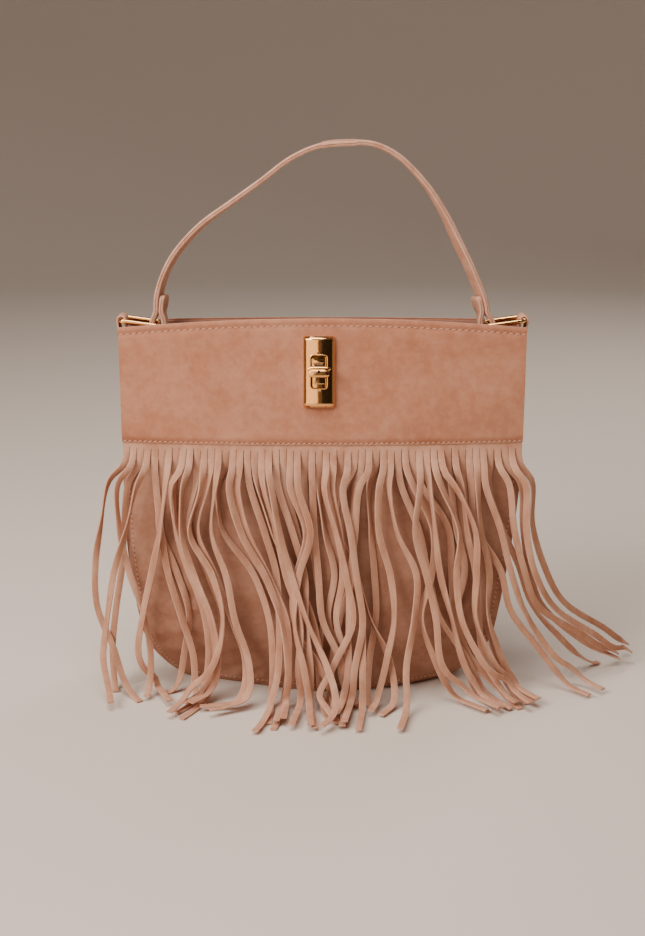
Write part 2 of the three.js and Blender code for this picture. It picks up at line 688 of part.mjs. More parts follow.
// A ribbon of leather seen edge on: a curve in the x-z plane given a thickness, then a width
function ribbon(curvePoints, thickness, width, detail) {
  const curve = new THREE.CatmullRomCurve3(
    curvePoints.map(([x, z]) => new THREE.Vector3(x, 0, z)),
    false,
    'centripetal',
  );
  const count = Math.round(curvePoints.length * detail);
  const sides = [[], []];
  for (let i = 0; i <= count; i += 1) {
    const p = curve.getPoint(i / count);
    const d = curve.getTangent(i / count);
    sides[0].push(new THREE.Vector2(p.x - (d.z * thickness) / 2, p.z + (d.x * thickness) / 2));
    sides[1].push(new THREE.Vector2(p.x + (d.z * thickness) / 2, p.z - (d.x * thickness) / 2));
  }
  const outline = new THREE.Shape([...sides[0], ...sides[1].reverse()]);
  return new THREE.ExtrudeGeometry(outline, { depth: width, bevelEnabled: false })
    .rotateX(Math.PI / 2)
    .translate(0, width / 2, 0);
}

// A loop around a bar at the origin with two legs going up, from one leg's end to the other's
function loopPoints(radius, legOffset, neck, firstLeg, secondLeg) {
  const arc = [-20, -55, -90, -125, -160].map((degrees) => {
    const angle = (degrees * Math.PI) / 180;
    return [radius * Math.cos(angle), radius * Math.sin(angle)];
  });
  return [
    [legOffset, firstLeg],
    [legOffset, mix(neck, firstLeg, 0.4)],
    [legOffset, neck],
    [mix(radius, legOffset, 0.35), mix(0, neck, 0.42)],
    ...arc,
    [-mix(radius, legOffset, 0.35), mix(0, neck, 0.42)],
    [-legOffset, neck],
    [-legOffset, mix(neck, secondLeg, 0.4)],
    [-legOffset, secondLeg],
  ];
}

function turned(points, degrees, x, z) {
  const angle = (degrees * Math.PI) / 180;
  return points.map(([a, b]) => [
    x + a * Math.cos(angle) + b * Math.sin(angle),
    z - a * Math.sin(angle) + b * Math.cos(angle),
  ]);
}

// Rings turn about their outer bars, which the tabs hold over the gusset's top edge
function ringPivot() {
  return halfWidth(GUSSET_TOP) - GUSSET_THICKNESS / 2;
}

function ringInnerBar() {
  const tilt = (RING_REST_TILT * Math.PI) / 180;
  return {
    x: ringPivot() - RING_LENGTH * Math.cos(tilt),
    z: RING_PIVOT_HEIGHT - RING_LENGTH * Math.sin(tilt),
  };
}

function tab(side) {
  const legOffset = GUSSET_THICKNESS / 2 + TAB_GAP + TAB_THICKNESS / 2;
  const radius = WIRE_RADIUS + TAB_GAP + TAB_THICKNESS / 2;
  const neck = RING_PIVOT_HEIGHT - GUSSET_TOP - 2 * TAB_GAP - TAB_THICKNESS;
  const hanging = loopPoints(radius, legOffset, neck, TAB_LEG, TAB_LEG).map(([a, b]) => [a, -b]);
  const placed = turned(hanging, 0, side * ringPivot(), RING_PIVOT_HEIGHT);
  return ribbon(placed, TAB_THICKNESS, TAB_WIDTH, 2);
}

// A ring of wire with rounded corners, its outer bar through the origin and its length along x
function ring() {
  const corners = [];
  const half = RING_WIDTH / 2;
  const quarter = steps(4).map((t) => (t * Math.PI) / 2);
  const centres = [
    [RING_LENGTH - RING_CORNER, half - RING_CORNER, 0],
    [RING_CORNER, half - RING_CORNER, 1],
    [RING_CORNER, RING_CORNER - half, 2],
    [RING_LENGTH - RING_CORNER, RING_CORNER - half, 3],
  ];
  for (const [x, y, turn] of centres) {
    for (const angle of quarter) {
      const a = angle + (turn * Math.PI) / 2;
      corners.push([x, y, Math.cos(a), Math.sin(a)]);
    }
  }
  const rings = corners.map(([x, y, c, s]) => steps(WIRE_SIDES).slice(1).map((t) => {
    const a = t * 2 * Math.PI;
    const reach = RING_CORNER + WIRE_RADIUS * Math.cos(a);
    return new THREE.Vector3(x + c * reach, y + s * reach, WIRE_RADIUS * Math.sin(a));
  }));
  return loft(rings, true);
}

function handleStrap() {
  const bar = ringInnerBar();
  const eyeX = bar.x + EYE_OFFSET;
  const offset = (STRAP_THICKNESS + STRAP_PLY_GAP) / 2;
  const radius = EYE_RADIUS + STRAP_THICKNESS / 2;
  const loop = loopPoints(radius, offset, EYE_NECK, TAIL_LENGTH, TAIL_LENGTH);
  const left = turned(loop, LEFT_TILT, -eyeX, bar.z);
  const right = turned(loop, -RIGHT_TILT, eyeX, bar.z);
  const arch = HANDLE_ARCH.map(([across, up]) => [across * bar.x, bar.z + up * HANDLE_RISE]);
  return ribbon([...left, ...arch, ...right], STRAP_THICKNESS, STRAP_WIDTH, 2);
}

// Turn lock pieces, in the lock's frame
function roundedRectangle(width, length, radius) {
  const shape = new THREE.Shape();
  const x = width / 2;
  const y = length / 2;
  shape.moveTo(-x + radius, -y);
  shape.lineTo(x - radius, -y);
  shape.absarc(x - radius, -y + radius, radius, -Math.PI / 2, 0, false);
  shape.lineTo(x, y - radius);
  shape.absarc(x - radius, y - radius, radius, 0, Math.PI / 2, false);
  shape.lineTo(-x + radius, y);
  shape.absarc(-x + radius, y - radius, radius, Math.PI / 2, Math.PI, false);
  shape.lineTo(-x, -y + radius);
  shape.absarc(-x + radius, -y + radius, radius, Math.PI, Math.PI * 1.5, false);
  return shape;
}

function slab(shape, bottom, top) {
  return new THREE.ExtrudeGeometry(shape, { depth: top - bottom, bevelEnabled: false, curveSegments: 4 })
    .translate(0, 0, bottom);
}

// The cover's outside is an arch across, lower over its bevelled ends
function archSolid(halfWide, halfLong, side, crown, bottom) {
  const arch = (height) => steps(12).map((t) => {
    const x = mix(-halfWide, halfWide, t);
    return [x, side + (height - side) * Math.sqrt(Math.max(1 - (x / halfWide) ** 2, 0))];
  });
  const section = (y, height) => [
    ...arch(height).map(([x, z]) => new THREE.Vector3(x, y, z)),
    new THREE.Vector3(halfWide, y, bottom),
    new THREE.Vector3(-halfWide, y, bottom),
  ];
  const low = crown - PLATE_BEVEL_DROP;
  return loft([
    section(-halfLong, low),
    section(-halfLong + PLATE_BEVEL, crown),
    section(halfLong - PLATE_BEVEL, crown),
    section(halfLong, low),
  ]);
}

function prongY() {
  return PLATE_LENGTH / 2 - PLATE_WALL - PRONG_THICKNESS / 2 + GAP;
}

function prongBottom() {
  return -(STIFFENER_LAYER + BACK_PLATE_THICKNESS + GAP + PRONG_FOLD_THICKNESS);
}

function lockPlate() {
  const outside = archSolid(PLATE_WIDTH / 2, PLATE_LENGTH / 2, PLATE_SIDE, PLATE_CROWN, GAP);
  const hollow = archSolid(
    PLATE_WIDTH / 2 - PLATE_WALL,
    PLATE_LENGTH / 2 - PLATE_WALL,
    PLATE_SIDE - PLATE_WALL,
    PLATE_CROWN - PLATE_WALL,
    GAP - 1,
  );
  const opening = roundedRectangle(WINDOW_WIDTH, WINDOW_LENGTH, WINDOW_CORNER);
  const frame = roundedRectangle(
    WINDOW_WIDTH + 2 * LIP_WIDTH,
    WINDOW_LENGTH + 2 * LIP_WIDTH,
    WINDOW_CORNER + LIP_WIDTH,
  );
  const lip = slab(frame, PLATE_CROWN - LIP_DEPTH, PLATE_CROWN + LIP_RISE);
  const bottom = prongBottom();
  const prongs = [];
  for (const sx of [-1, 1]) {
    for (const sy of [-1, 1]) {
      const top = PLATE_SIDE;
      prongs.push(block(sx * PRONG_X, sy * prongY(), bottom, PRONG_WIDTH, PRONG_THICKNESS, top - bottom));
      const foldY = sy * (prongY() + PRONG_THICKNESS / 2 - PRONG_FOLD / 2);
      prongs.push(block(sx * PRONG_X, foldY, bottom, PRONG_WIDTH, PRONG_FOLD, PRONG_FOLD_THICKNESS));
    }
  }
  const shell = join(cut(outside, hollow), lip, ...prongs);
  return cut(shell, slab(opening, GAP - 1, PLATE_CROWN + 2));
}

function lockBase() {
  const clear = PLATE_WALL + GAP;
  const flange = block(0, 0, FLANGE_BOTTOM, PLATE_WIDTH - 2 * clear - 1, 2 * prongFree(), FLANGE_THICKNESS);
  const boss = slab(roundedRectangle(BOSS_WIDTH, BOSS_LENGTH, 1), FLANGE_BOTTOM, BOSS_TOP);
  const inner = roundedRectangle(BOSS_WIDTH - 2 * BOSS_WALL, BOSS_LENGTH - 2 * BOSS_WALL, 0.6);
  const hollow = slab(inner, FLANGE_BOTTOM - 1, BOSS_TOP - BOSS_WALL);
  return cut(join(flange, boss), hollow, pillar(SHANK_RADIUS + GAP, 0, BOSS_TOP + 1));
}

function prongFree() {
  return prongY() - PRONG_THICKNESS / 2 - GAP;
}

function springTop() {
  return FLANGE_BOTTOM + FLANGE_THICKNESS + SPRING_THICKNESS + GAP / 2;
}

function camBottom() {
  return springTop() + GAP;
}

function knobBottom() {
  return PLATE_CROWN + LIP_RISE + KNOB_CLEARANCE;
}

function knobTop() {
  return knobBottom() + WING_HEIGHT + KNOB_HEIGHT;
}

function lockSpring() {
  return block(0, 0, springTop() - SPRING_THICKNESS, SPRING_WIDTH, SPRING_LENGTH, SPRING_THICKNESS);
}

function lockPin() {
  const cam = block(0, 0, camBottom(), CAM_SIDE, CAM_SIDE, CAM_THICKNESS);
  const shank = pillar(SHANK_RADIUS, camBottom() + CAM_THICKNESS / 2, knobBottom() - GAP);
  const tip = pillar(PIN_TIP_RADIUS, camBottom() + CAM_THICKNESS, knobTop() - PIN_TIP_SINK);
  return join(cam, shank, tip);
}

// A bar along x through sections that narrow to its two ends
function taperedBar(length, width, bottom, top, endShare) {
  const half = length / 2;
  const places = [[-1, endShare], [-0.62, 1], [0.62, 1], [1, endShare]];
  const middle = (top + bottom) / 2;
  const rise = (top - bottom) / 2;
  return loft(places.map(([x, share]) => steps(8).slice(1).map((t) => {
    const a = t * 2 * Math.PI + Math.PI / 8;
    const y = (width / 2 / Math.cos(Math.PI / 8)) * Math.cos(a) * share;
    const z = (rise / Math.cos(Math.PI / 8)) * Math.sin(a) * mix(1, share, 0.5);
    return new THREE.Vector3(x * half, y, middle + z);
  })));
}

function lockKnob() {
  const wings = taperedBar(WING_LENGTH, WING_WIDTH, knobBottom(), knobBottom() + WING_HEIGHT + 0.4, 0.35);
  const body = taperedBar(KNOB_LENGTH, KNOB_WIDTH, knobBottom() + WING_HEIGHT, knobTop(), 0.72);
  const bore = pillar(PIN_TIP_RADIUS + GAP, knobBottom() - 1, knobTop() + 1);
  return cut(join(wings, body), bore);
}

function lockBackPlate() {
  const top = -STIFFENER_LAYER;
  const outline = roundedRectangle(BACK_PLATE_WIDTH, 2 * prongFree(), 1);
  return slab(outline, top - BACK_PLATE_THICKNESS, top);
}

// Cutters for the prongs' slots in the band and the back plate's room in the stiffener
function prongSlots() {
  const slots = [];
  for (const sx of [-1, 1]) {
    for (const sy of [-1, 1]) {
      const width = PRONG_WIDTH + 2 * SLOT_MARGIN;
      const length = PRONG_THICKNESS + 2 * SLOT_MARGIN;
      const bottom = -STIFFENER_LAYER - 1;
      slots.push(block(sx * PRONG_X, sy * prongY(), bottom, width, length, 2 - bottom));
    }
  }
  return slots;
}

function backPlateRoom() {
  const length = 2 * (prongY() + PRONG_THICKNESS / 2 + SLOT_MARGIN);
  const shape = roundedRectangle(BACK_PLATE_WIDTH + 2 * SLOT_MARGIN, length, 1);
  return slab(shape, -PANEL_LAYER - 3, 1);
}

function lockGroup() {
  const group = new THREE.Group();
  const rise = CORNER_HEIGHT - SEAM_HEIGHT;
  const lean = Math.atan2(BAND_MID_AT_SEAM - BAND_MID_AT_TOP, rise);
  group.position.set(LOCK_X, -bandDepth(0, LOCK_HEIGHT), LOCK_HEIGHT);
  group.rotation.x = Math.PI / 2 - lean;
  group.updateMatrixWorld(true);
  return group;
}

function piece(name, geometry, finish) {
  const mesh = new THREE.Mesh(geometry, finish);
  mesh.name = name;
  return mesh;
}

const lock = lockGroup();
const inLockFrame = (cutter) => cutter.applyMatrix4(lock.matrixWorld);
lock.add(
  piece('lock_plate', lockPlate(), goldMetal()),
  piece('lock_base', lockBase(), goldMetal()),
  piece('lock_spring', lockSpring(), steel()),
  piece('lock_pin', lockPin(), goldMetal()),
  piece('lock_knob', lockKnob(), goldMetal()),
  piece('lock_back_plate', lockBackPlate(), steel()),
);

const leftRing = new THREE.Group();
leftRing.position.set(-ringPivot(), 0, RING_PIVOT_HEIGHT);
leftRing.rotation.y = (RING_REST_TILT * Math.PI) / 180;
leftRing.add(piece('left_ring', ring(), goldMetal()));

const rightRing = new THREE.Group();
rightRing.position.set(ringPivot(), 0, RING_PIVOT_HEIGHT);
rightRing.rotation.set(0, Math.PI + (RING_REST_TILT * -Math.PI) / 180, 0);
rightRing.add(piece('right_ring', ring(), goldMetal()));

const group = new THREE.Group();
group.add(
  piece('front_band', cut(band(-1, FRONT_ARCH), ...prongSlots().map(inLockFrame)), suede()),
  piece('back_band', band(1, BACK_ARCH), suede()),
  piece('front_stiffener', cut(stiffener(-1, FRONT_ARCH), inLockFrame(backPlateRoom())), board()),
  piece('back_stiffener', stiffener(1, BACK_ARCH), board()),
  piece('front_facing', facing(-1, FRONT_ARCH), suede()),
  piece('back_facing', facing(1, BACK_ARCH), suede()),
  piece('front_panel', panel(-1), suede()),
  piece('back_panel', panel(1), suede()),
  piece('gusset', gusset(), suede()),
  piece('lining', lining(), liningCloth()),
  piece('base_board', baseBoard(), board()),
  piece('fringe', fringe(), suede()),
  piece('left_tab', tab(-1), suede()),
  piece('right_tab', tab(1), suede()),
  leftRing,
  rightRing,
  piece('handle_strap', handleStrap(), suede()),
  lock,
);

export default group;
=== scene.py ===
import math
import bmesh
import bpy
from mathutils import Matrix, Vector, noise


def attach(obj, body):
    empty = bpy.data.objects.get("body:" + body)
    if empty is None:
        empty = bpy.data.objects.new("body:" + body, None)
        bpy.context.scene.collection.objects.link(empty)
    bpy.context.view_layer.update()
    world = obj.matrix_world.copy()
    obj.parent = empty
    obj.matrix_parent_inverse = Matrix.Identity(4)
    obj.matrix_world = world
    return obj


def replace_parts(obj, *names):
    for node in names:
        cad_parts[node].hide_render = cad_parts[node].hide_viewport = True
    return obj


# Fringed suede bag. The front faces -Y and the base stands on z = 0. Shapes are worked out in
# millimetres in the model's frame, and mesh_object turns them into metres.
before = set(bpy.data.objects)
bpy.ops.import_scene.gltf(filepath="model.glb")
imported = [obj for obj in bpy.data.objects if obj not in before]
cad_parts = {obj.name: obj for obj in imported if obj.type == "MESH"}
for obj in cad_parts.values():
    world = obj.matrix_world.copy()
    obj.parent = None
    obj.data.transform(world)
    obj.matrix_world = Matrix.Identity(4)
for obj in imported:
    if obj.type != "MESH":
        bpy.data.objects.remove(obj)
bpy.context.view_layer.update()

# Camera. It looks at the bag from the front and a little above, as the photograph does. Its
# place and its lens were worked out from the photograph.
CAMERA_DISTANCE = 0.92
CAMERA_HEIGHT = 0.415
CAMERA_PITCH = 16.0
LENS_MM = 53.3


def make_camera():
    data = bpy.data.cameras.new("camera")
    data.lens = LENS_MM
    data.sensor_width = 36
    camera = bpy.data.objects.new("camera", data)
    camera.location = (0, -CAMERA_DISTANCE, CAMERA_HEIGHT)
    camera.rotation_euler = (math.radians(90 - CAMERA_PITCH), 0, 0)
    bpy.context.collection.objects.link(camera)
    bpy.context.scene.camera = camera


make_camera()


# Bands. Each is one tall panel of suede, glued over a board and sewn along both long edges. It
# dips at the stitches and swells a little between them, and it lies flat under the lock.
MM = 0.001
TOP_HALF_WIDTH = 135
SEAM_HALF_WIDTH = 134
SEAM_HEIGHT = 176
CORNER_HEIGHT = 252
FRONT_ARCH = 6
BACK_ARCH = 1.5
SIDE_TAPER = 22
CORNER_RISE = 46
CORNER_RUN = 26
BAND_EDGE_AT_TOP = 17
BAND_EDGE_AT_SEAM = 25
BAND_MID_AT_TOP = 18
BAND_MID_AT_SEAM = 33.5
BAND_THICKNESS = 1.6
BAND_COLUMNS = 150
BAND_ROWS = 48
TOP_STITCH_INSET = 4.6
LOW_STITCH_INSET = 1.1
TOP_STITCH_DIP = 0.65
TOP_DIP_REACH = 1.3
LOW_STITCH_DIP = 0.4
LOW_DIP_REACH = 1.2
SWELL_HEIGHT = 1.1
SWELL_SPAN = 62
RIPPLE_HEIGHT = 0.4
RIPPLE_SPAN = 21
SWELL_FADE = 14
SKIVE_DEPTH = 1.15
SKIVE_REACH = 5
ROLLED_EDGE = 0.7
ROLL_REACH = 1.6
LOCK_X = -2.3
LOCK_HEIGHT = 224
FLAT_BESIDE_LOCK = 16
FLAT_ALONG_LOCK = 30
CREASE_ANGLE = 50


def mix(a, b, t):
    return a + (b - a) * t


def clamp(value, low=0.0, high=1.0):
    return min(max(value, low), high)


def smooth(t):
    s = clamp(t)
    return s * s * (3 - 2 * s)


def wave(x, z, size, seed):
    """Soft noise from -1 to 1, with hills about size millimetres apart."""
    return noise.noise(Vector((x / size, z / size, seed)))


def linear(hex_colour):
    parts = [int(hex_colour[i:i + 2], 16) / 255 for i in (1, 3, 5)]
    return tuple(c / 12.92 if c <= 0.04045 else ((c + 0.055) / 1.055) ** 2.4 for c in parts) + (1,)


def node(tree, kind, inputs=None, **settings):
    """Add a node with its settings, and link its inputs or set them."""
    made = tree.nodes.new(kind)
    for key, value in settings.items():
        setattr(made, key, value)
    for key, value in (inputs or {}).items():
        if isinstance(value, bpy.types.NodeSocket):
            tree.links.new(value, made.inputs[key])
        else:
            made.inputs[key].default_value = value
    return made


def start_material(name):
    """A new material with its node tree and its shader."""
    material = bpy.data.materials.new(name)
    material.use_nodes = True
    return material, material.node_tree, material.node_tree.nodes["Principled BSDF"]


def suede(name, base, light, dark, cloud_mm=32, squeeze=1.0):
    """Cowhide split, sanded to a nap. It has cloudy light and dark where the nap lies both ways,
    brush marks, and a fuzzy grain. The grain of a real nap is finer than it is drawn here."""
    material, tree, shader = start_material(name)
    place = node(tree, "ShaderNodeTexCoord").outputs["Object"]
    lie = node(tree, "ShaderNodeMapping", {"Vector": place, "Scale": (1, 1, squeeze)}).outputs["Vector"]
    sizes = {"clouds": (cloud_mm, 4, 0.6), "marks": (5.5, 3, 0.6)}
    sizes.update({"grain": (0.55, 2, 0.7), "fuzz": (0.22, 2, 0.8)})
    tone, height = {}, None
    for part, (size_mm, detail, rough) in sizes.items():
        inputs = {"Vector": lie, "Scale": 1 / (size_mm * MM), "Detail": detail, "Roughness": rough}
        tone[part] = node(tree, "ShaderNodeTexNoise", inputs).outputs["Fac"]
    colour = linear(base)
    for part, low, high, share, tint in (
        ("clouds", 0.5, 0.3, 0.62, dark), ("clouds", 0.5, 0.7, 0.62, light),
        ("marks", 0.45, 0.7, 0.36, light), ("marks", 0.5, 0.3, 0.26, dark), ("grain", 0.6, 0.35, 0.2, dark),
    ):
        inputs = {"Value": tone[part], "From Min": low, "From Max": high, "To Max": share}
        amount = node(tree, "ShaderNodeMapRange", inputs).outputs["Result"]
        inputs = {"Factor": amount, "A": colour, "B": linear(tint)}
        colour = node(tree, "ShaderNodeMix", inputs, data_type="RGBA").outputs["Result"]
    for part, strength, distance in (("marks", 0.25, 0.5), ("grain", 0.35, 0.16), ("fuzz", 0.3, 0.07)):
        inputs = {"Height": tone[part], "Strength": strength, "Distance": distance * MM}
        if height is not None:
            inputs["Normal"] = height
        height = node(tree, "ShaderNodeBump", inputs).outputs["Normal"]
    tree.links.new(colour, shader.inputs["Base Color"])
    tree.links.new(height, shader.inputs["Normal"])
    shader.inputs["Roughness"].default_value = 0.95
    shader.inputs["Specular IOR Level"].default_value = 0.1
    shader.inputs["Sheen Weight"].default_value = 0.12
    shader.inputs["Sheen Roughness"].default_value = 0.5
    shader.inputs["Sheen Tint"].default_value = linear(light)
    return material


BAND_SUEDE = suede("suede_band", "#BA7E62", "#CC9478", "#A76B50")
# Cut edges are lighter suede: partly the raw edge's own colour, partly a painted highlight where the edges
# catch the light.
CUT_EDGE_AND_HIGHLIGHT = suede("suede_cut_edge_and_highlight", "#D3A289", "#E4BAA2", "#BA866C", 12, 0.35)


def mesh_object(name, points, faces, body, material, edge_faces=()):
    """A mesh piece from points in millimetres, riding on a body."""
    mesh = bpy.data.meshes.new(name)
    mesh.from_pydata([tuple(c * MM for c in p) for p in points], [], faces)
    mesh.materials.append(material)
    # Edge faces get the cut-edge suede, whose lighter colour is partly a painted highlight.
    if edge_faces:
        mesh.materials.append(CUT_EDGE_AND_HIGHLIGHT)
        for index in edge_faces:
            mesh.polygons[index].material_index = 1
    work = bmesh.new()
    work.from_mesh(mesh)
    bmesh.ops.recalc_face_normals(work, faces=work.faces)
    work.to_mesh(mesh)
    work.free()
    for face in mesh.polygons:
        face.use_smooth = True
    piece = bpy.data.objects.new(name, mesh)
    bpy.context.collection.objects.link(piece)
    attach(piece, body)
    return piece


def sharpen(piece, degrees=CREASE_ANGLE):
    """Keep edges sharper than an angle out of the smooth shading."""
    limit = math.radians(degrees)
    work = bmesh.new()
    work.from_mesh(piece.data)
    for edge in work.edges:
        edge.smooth = not edge.is_manifold or edge.calc_face_angle(0) < limit
    work.to_mesh(piece.data)
    work.free()


def wall_faces(rows, columns):
    """Faces of a closed wall between an outer and an inner grid, its two sides first, then its rim."""
    faces, rim = [], []
    back = rows * columns
    for i in range(rows - 1):
        for j in range(columns - 1):
            a = i * columns + j
            faces.append((a, a + 1, a + columns + 1, a + columns))
            faces.append((back + a, back + a + columns, back + a + columns + 1, back + a + 1))
    for i in range(rows - 1):
        for a in (i * columns, i * columns + columns - 1):
            rim.append((a, a + columns, back + a + columns, back + a))
    for j in range(columns - 1):
        for a in (j, (rows - 1) * columns + j):
            rim.append((a, a + 1, back + a + 1, back + a))
    return faces + rim, range(len(faces), len(faces) + len(rim))


def band_part(z):
    return (z - SEAM_HEIGHT) / (CORNER_HEIGHT - SEAM_HEIGHT)


def half_width(z):
    """Half the bag's width at a height. It tapers below the seam and turns in at the round corners."""
    if z >= SEAM_HEIGHT:
        return mix(SEAM_HALF_WIDTH, TOP_HALF_WIDTH, band_part(z))
    drop = (SEAM_HEIGHT - z) / SEAM_HEIGHT
    side = SEAM_HALF_WIDTH - SIDE_TAPER * drop * drop
    if z >= CORNER_RISE:
        return side
    below = (CORNER_RISE - z) / CORNER_RISE
    return side - CORNER_RUN * (1 - math.sqrt(max(1 - below * below, 0)))


def band_depth(u, z):
    """How far a band's face lies from the bag's middle, at a share u of its half width."""
    edge = mix(BAND_EDGE_AT_SEAM, BAND_EDGE_AT_TOP, band_part(z))
    middle = mix(BAND_MID_AT_SEAM, BAND_MID_AT_TOP, band_part(z))
    return edge + (middle - edge) * (1 - u * u)


def top_height(u, side):
    arch = FRONT_ARCH if side < 0 else BACK_ARCH
    return CORNER_HEIGHT + arch * (1 - u * u)


def band_surface(side, u, z):
    """A point of a band's outer face."""
    x = u * half_width(z)
    top = top_height(u, side)
    seed = 7 if side < 0 else 19
    inside = smooth((z - SEAM_HEIGHT) / SWELL_FADE) * smooth((top - z) / SWELL_FADE)
    hills = SWELL_HEIGHT * wave(x, z * 1.4, SWELL_SPAN, seed)
    hills += RIPPLE_HEIGHT * wave(x, z, RIPPLE_SPAN, seed + 3)
    if side < 0:
        away = max(abs(x - LOCK_X) / FLAT_BESIDE_LOCK, abs(z - LOCK_HEIGHT) / FLAT_ALONG_LOCK)
        hills *= smooth((away - 1) / 0.7)
    dip = TOP_STITCH_DIP * math.exp(-(((top - z) - TOP_STITCH_INSET) / TOP_DIP_REACH) ** 2)
    dip += LOW_STITCH_DIP * math.exp(-((z - SEAM_HEIGHT - LOW_STITCH_INSET) / LOW_DIP_REACH) ** 2)
    skived = SKIVE_DEPTH * smooth(1 - (z - SEAM_HEIGHT) / SKIVE_REACH)
    rolled = ROLLED_EDGE * smooth(1 - (top - z) / ROLL_REACH) ** 2
    return Vector((x, side * (band_depth(u, z) + hills * inside - dip - skived - rolled), z))


def band(name, side):
    outer, inner = [], []
    for i in range(BAND_ROWS + 1):
        v = mix(i / BAND_ROWS, smooth(i / BAND_ROWS), 0.6)
        for j in range(BAND_COLUMNS + 1):
            u = 2 * j / BAND_COLUMNS - 1
            z = mix(SEAM_HEIGHT, top_height(u, side), v)
            outer.append(band_surface(side, u, z))
            inner.append((u * half_width(z), side * (band_depth(u, z) - BAND_THICKNESS), z))
    faces, rim = wall_faces(BAND_ROWS + 1, BAND_COLUMNS + 1)
    piece = mesh_object(name, outer + inner, faces, "bag", BAND_SUEDE, rim)
    sharpen(piece)
    return piece


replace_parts(band("front_band_suede", -1), "front_band")
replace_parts(band("back_band_suede", 1), "back_band")


# Lower panels. Each is one piece of suede that hangs from the seam, bellies out, tucks in to the
# narrow foot, and puckers where its curved edge is sewn.
LOWER_SHIFT = 3
SHIFT_SPAN = 105
PANEL_EDGE_BELLY = 38
PANEL_EDGE_AT_BASE = 24
PANEL_MID_BELLY = 52
PANEL_MID_AT_BASE = 37
PANEL_LAYER = 3.6
PANEL_THICKNESS = 1.2
SEAM_OVERLAP = 8
GAP = 0.3
FOOT_EDGE = 11
FOOT_MIDDLE = 37
FOOT_LEAN = 8
FOOT_RISE = 46
BELLY_HEIGHT = 2.2
BELLY_SPAN = 55
CRUMPLE_HEIGHT = 0.8
CRUMPLE_SPAN = 24
PUCKER_DEPTH = 0.8
PUCKER_CENTRE = 60
PUCKER_TOP = 110
EDGE_SINK = 0.8
PANEL_COLUMNS = 130
CORNER_ROWS = 26
SIDE_ROWS = 40
BODY_SUEDE = suede("suede_body", "#A97962", "#BC8F78", "#94654F")


def bend(start, control, end, t):
    return (1 - t) ** 2 * start + 2 * t * (1 - t) * control + t * t * end


def shift(z):
    """How far the lower body hangs to one side."""
    return -LOWER_SHIFT * smooth((SEAM_HEIGHT - z) / SHIFT_SPAN)


def panel_depth(u, z):
    if z >= SEAM_HEIGHT:
        return band_depth(u, z) - PANEL_LAYER
    drop = (SEAM_HEIGHT - z) / SEAM_HEIGHT
    edge = bend(BAND_EDGE_AT_SEAM - PANEL_LAYER, PANEL_EDGE_BELLY, PANEL_EDGE_AT_BASE, drop)
    middle = bend(BAND_MID_AT_SEAM - PANEL_LAYER, PANEL_MID_BELLY, PANEL_MID_AT_BASE, drop)
    return edge + (middle - edge) * (1 - u * u)


def tucked_depth(u, z):
    """Depth of the lower body, drawn in to the pointed oval of its foot."""
    oval = FOOT_EDGE + (FOOT_MIDDLE - FOOT_EDGE) * (1 - abs(u) ** 1.5) + FOOT_LEAN * u * (1 - u * u)
    spare = max(panel_depth(u, 0) - oval, 0)
    return panel_depth(u, z) - spare * (1 - smooth(z / FOOT_RISE))


def lower_heights():
    corner = [CORNER_RISE * (1 - math.cos(math.pi / 2 * i / CORNER_ROWS)) for i in range(CORNER_ROWS + 1)]
    return corner + [mix(CORNER_RISE, SEAM_HEIGHT, (i + 1) / SIDE_ROWS) for i in range(SIDE_ROWS)]


def panel_surface(side, u, z):
    """A point of a lower panel's outer face."""
    seed = 31 if side < 0 else 47
    x = u * half_width(z)
    below = smooth((SEAM_HEIGHT - z) / 30)
    rim = min((1 - abs(u)) * 2.2, z / 22)
    hills = BELLY_HEIGHT * wave(x, z * 0.8, BELLY_SPAN, seed)
    hills += CRUMPLE_HEIGHT * wave(x * 1.3, z, CRUMPLE_SPAN, seed + 5)
    around = math.atan2(z - PUCKER_CENTRE, x) * PUCKER_CENTRE
    pucker = PUCKER_DEPTH * math.sin(around * 0.55 + 2 * wave(x, z, 40, seed))
    pucker *= smooth(1.4 - abs(rim - 0.5) * 2.6)
    seam = EDGE_SINK * (1 - smooth(rim * 6))
    swell = (hills * smooth(rim) + pucker * smooth((PUCKER_TOP - z) / 50)) * below - seam
    return Vector((shift(z) + x, side * (tucked_depth(u, z) + swell), max(z, GAP)))


def panel(name, side):
    heights = lower_heights() + [SEAM_HEIGHT + SEAM_OVERLAP]
    places = [(2 * j / PANEL_COLUMNS - 1, z) for z in heights for j in range(PANEL_COLUMNS + 1)]
    outer = [panel_surface(side, u, z) for u, z in places]
    inner = [point - Vector((0, side * PANEL_THICKNESS, 0)) for point in outer]
    faces, rim = wall_faces(len(heights), PANEL_COLUMNS + 1)
    piece = mesh_object(name, outer + inner, faces, "bag", BODY_SUEDE, rim)
    sharpen(piece)
    return piece


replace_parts(panel("front_panel_suede", -1), "front_panel")
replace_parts(panel("back_panel_suede", 1), "back_panel")


# Gusset. One strip of suede runs down one side, under the bag and up the other side. It is sewn
# between the panels, so it narrows where they tuck in, and it swells a little between its seams.
GUSSET_THICKNESS = 1.6
GUSSET_TOP = 246
GUSSET_PUFF = 1.5
GUSSET_RIPPLE = 0.8
GUSSET_RIPPLE_SPAN = 26
GUSSET_SEAM_SINK = 0.7
GUSSET_COLUMNS = 22
GUSSET_TOP_STEPS = 18
GUSSET_BASE_STEPS = 40


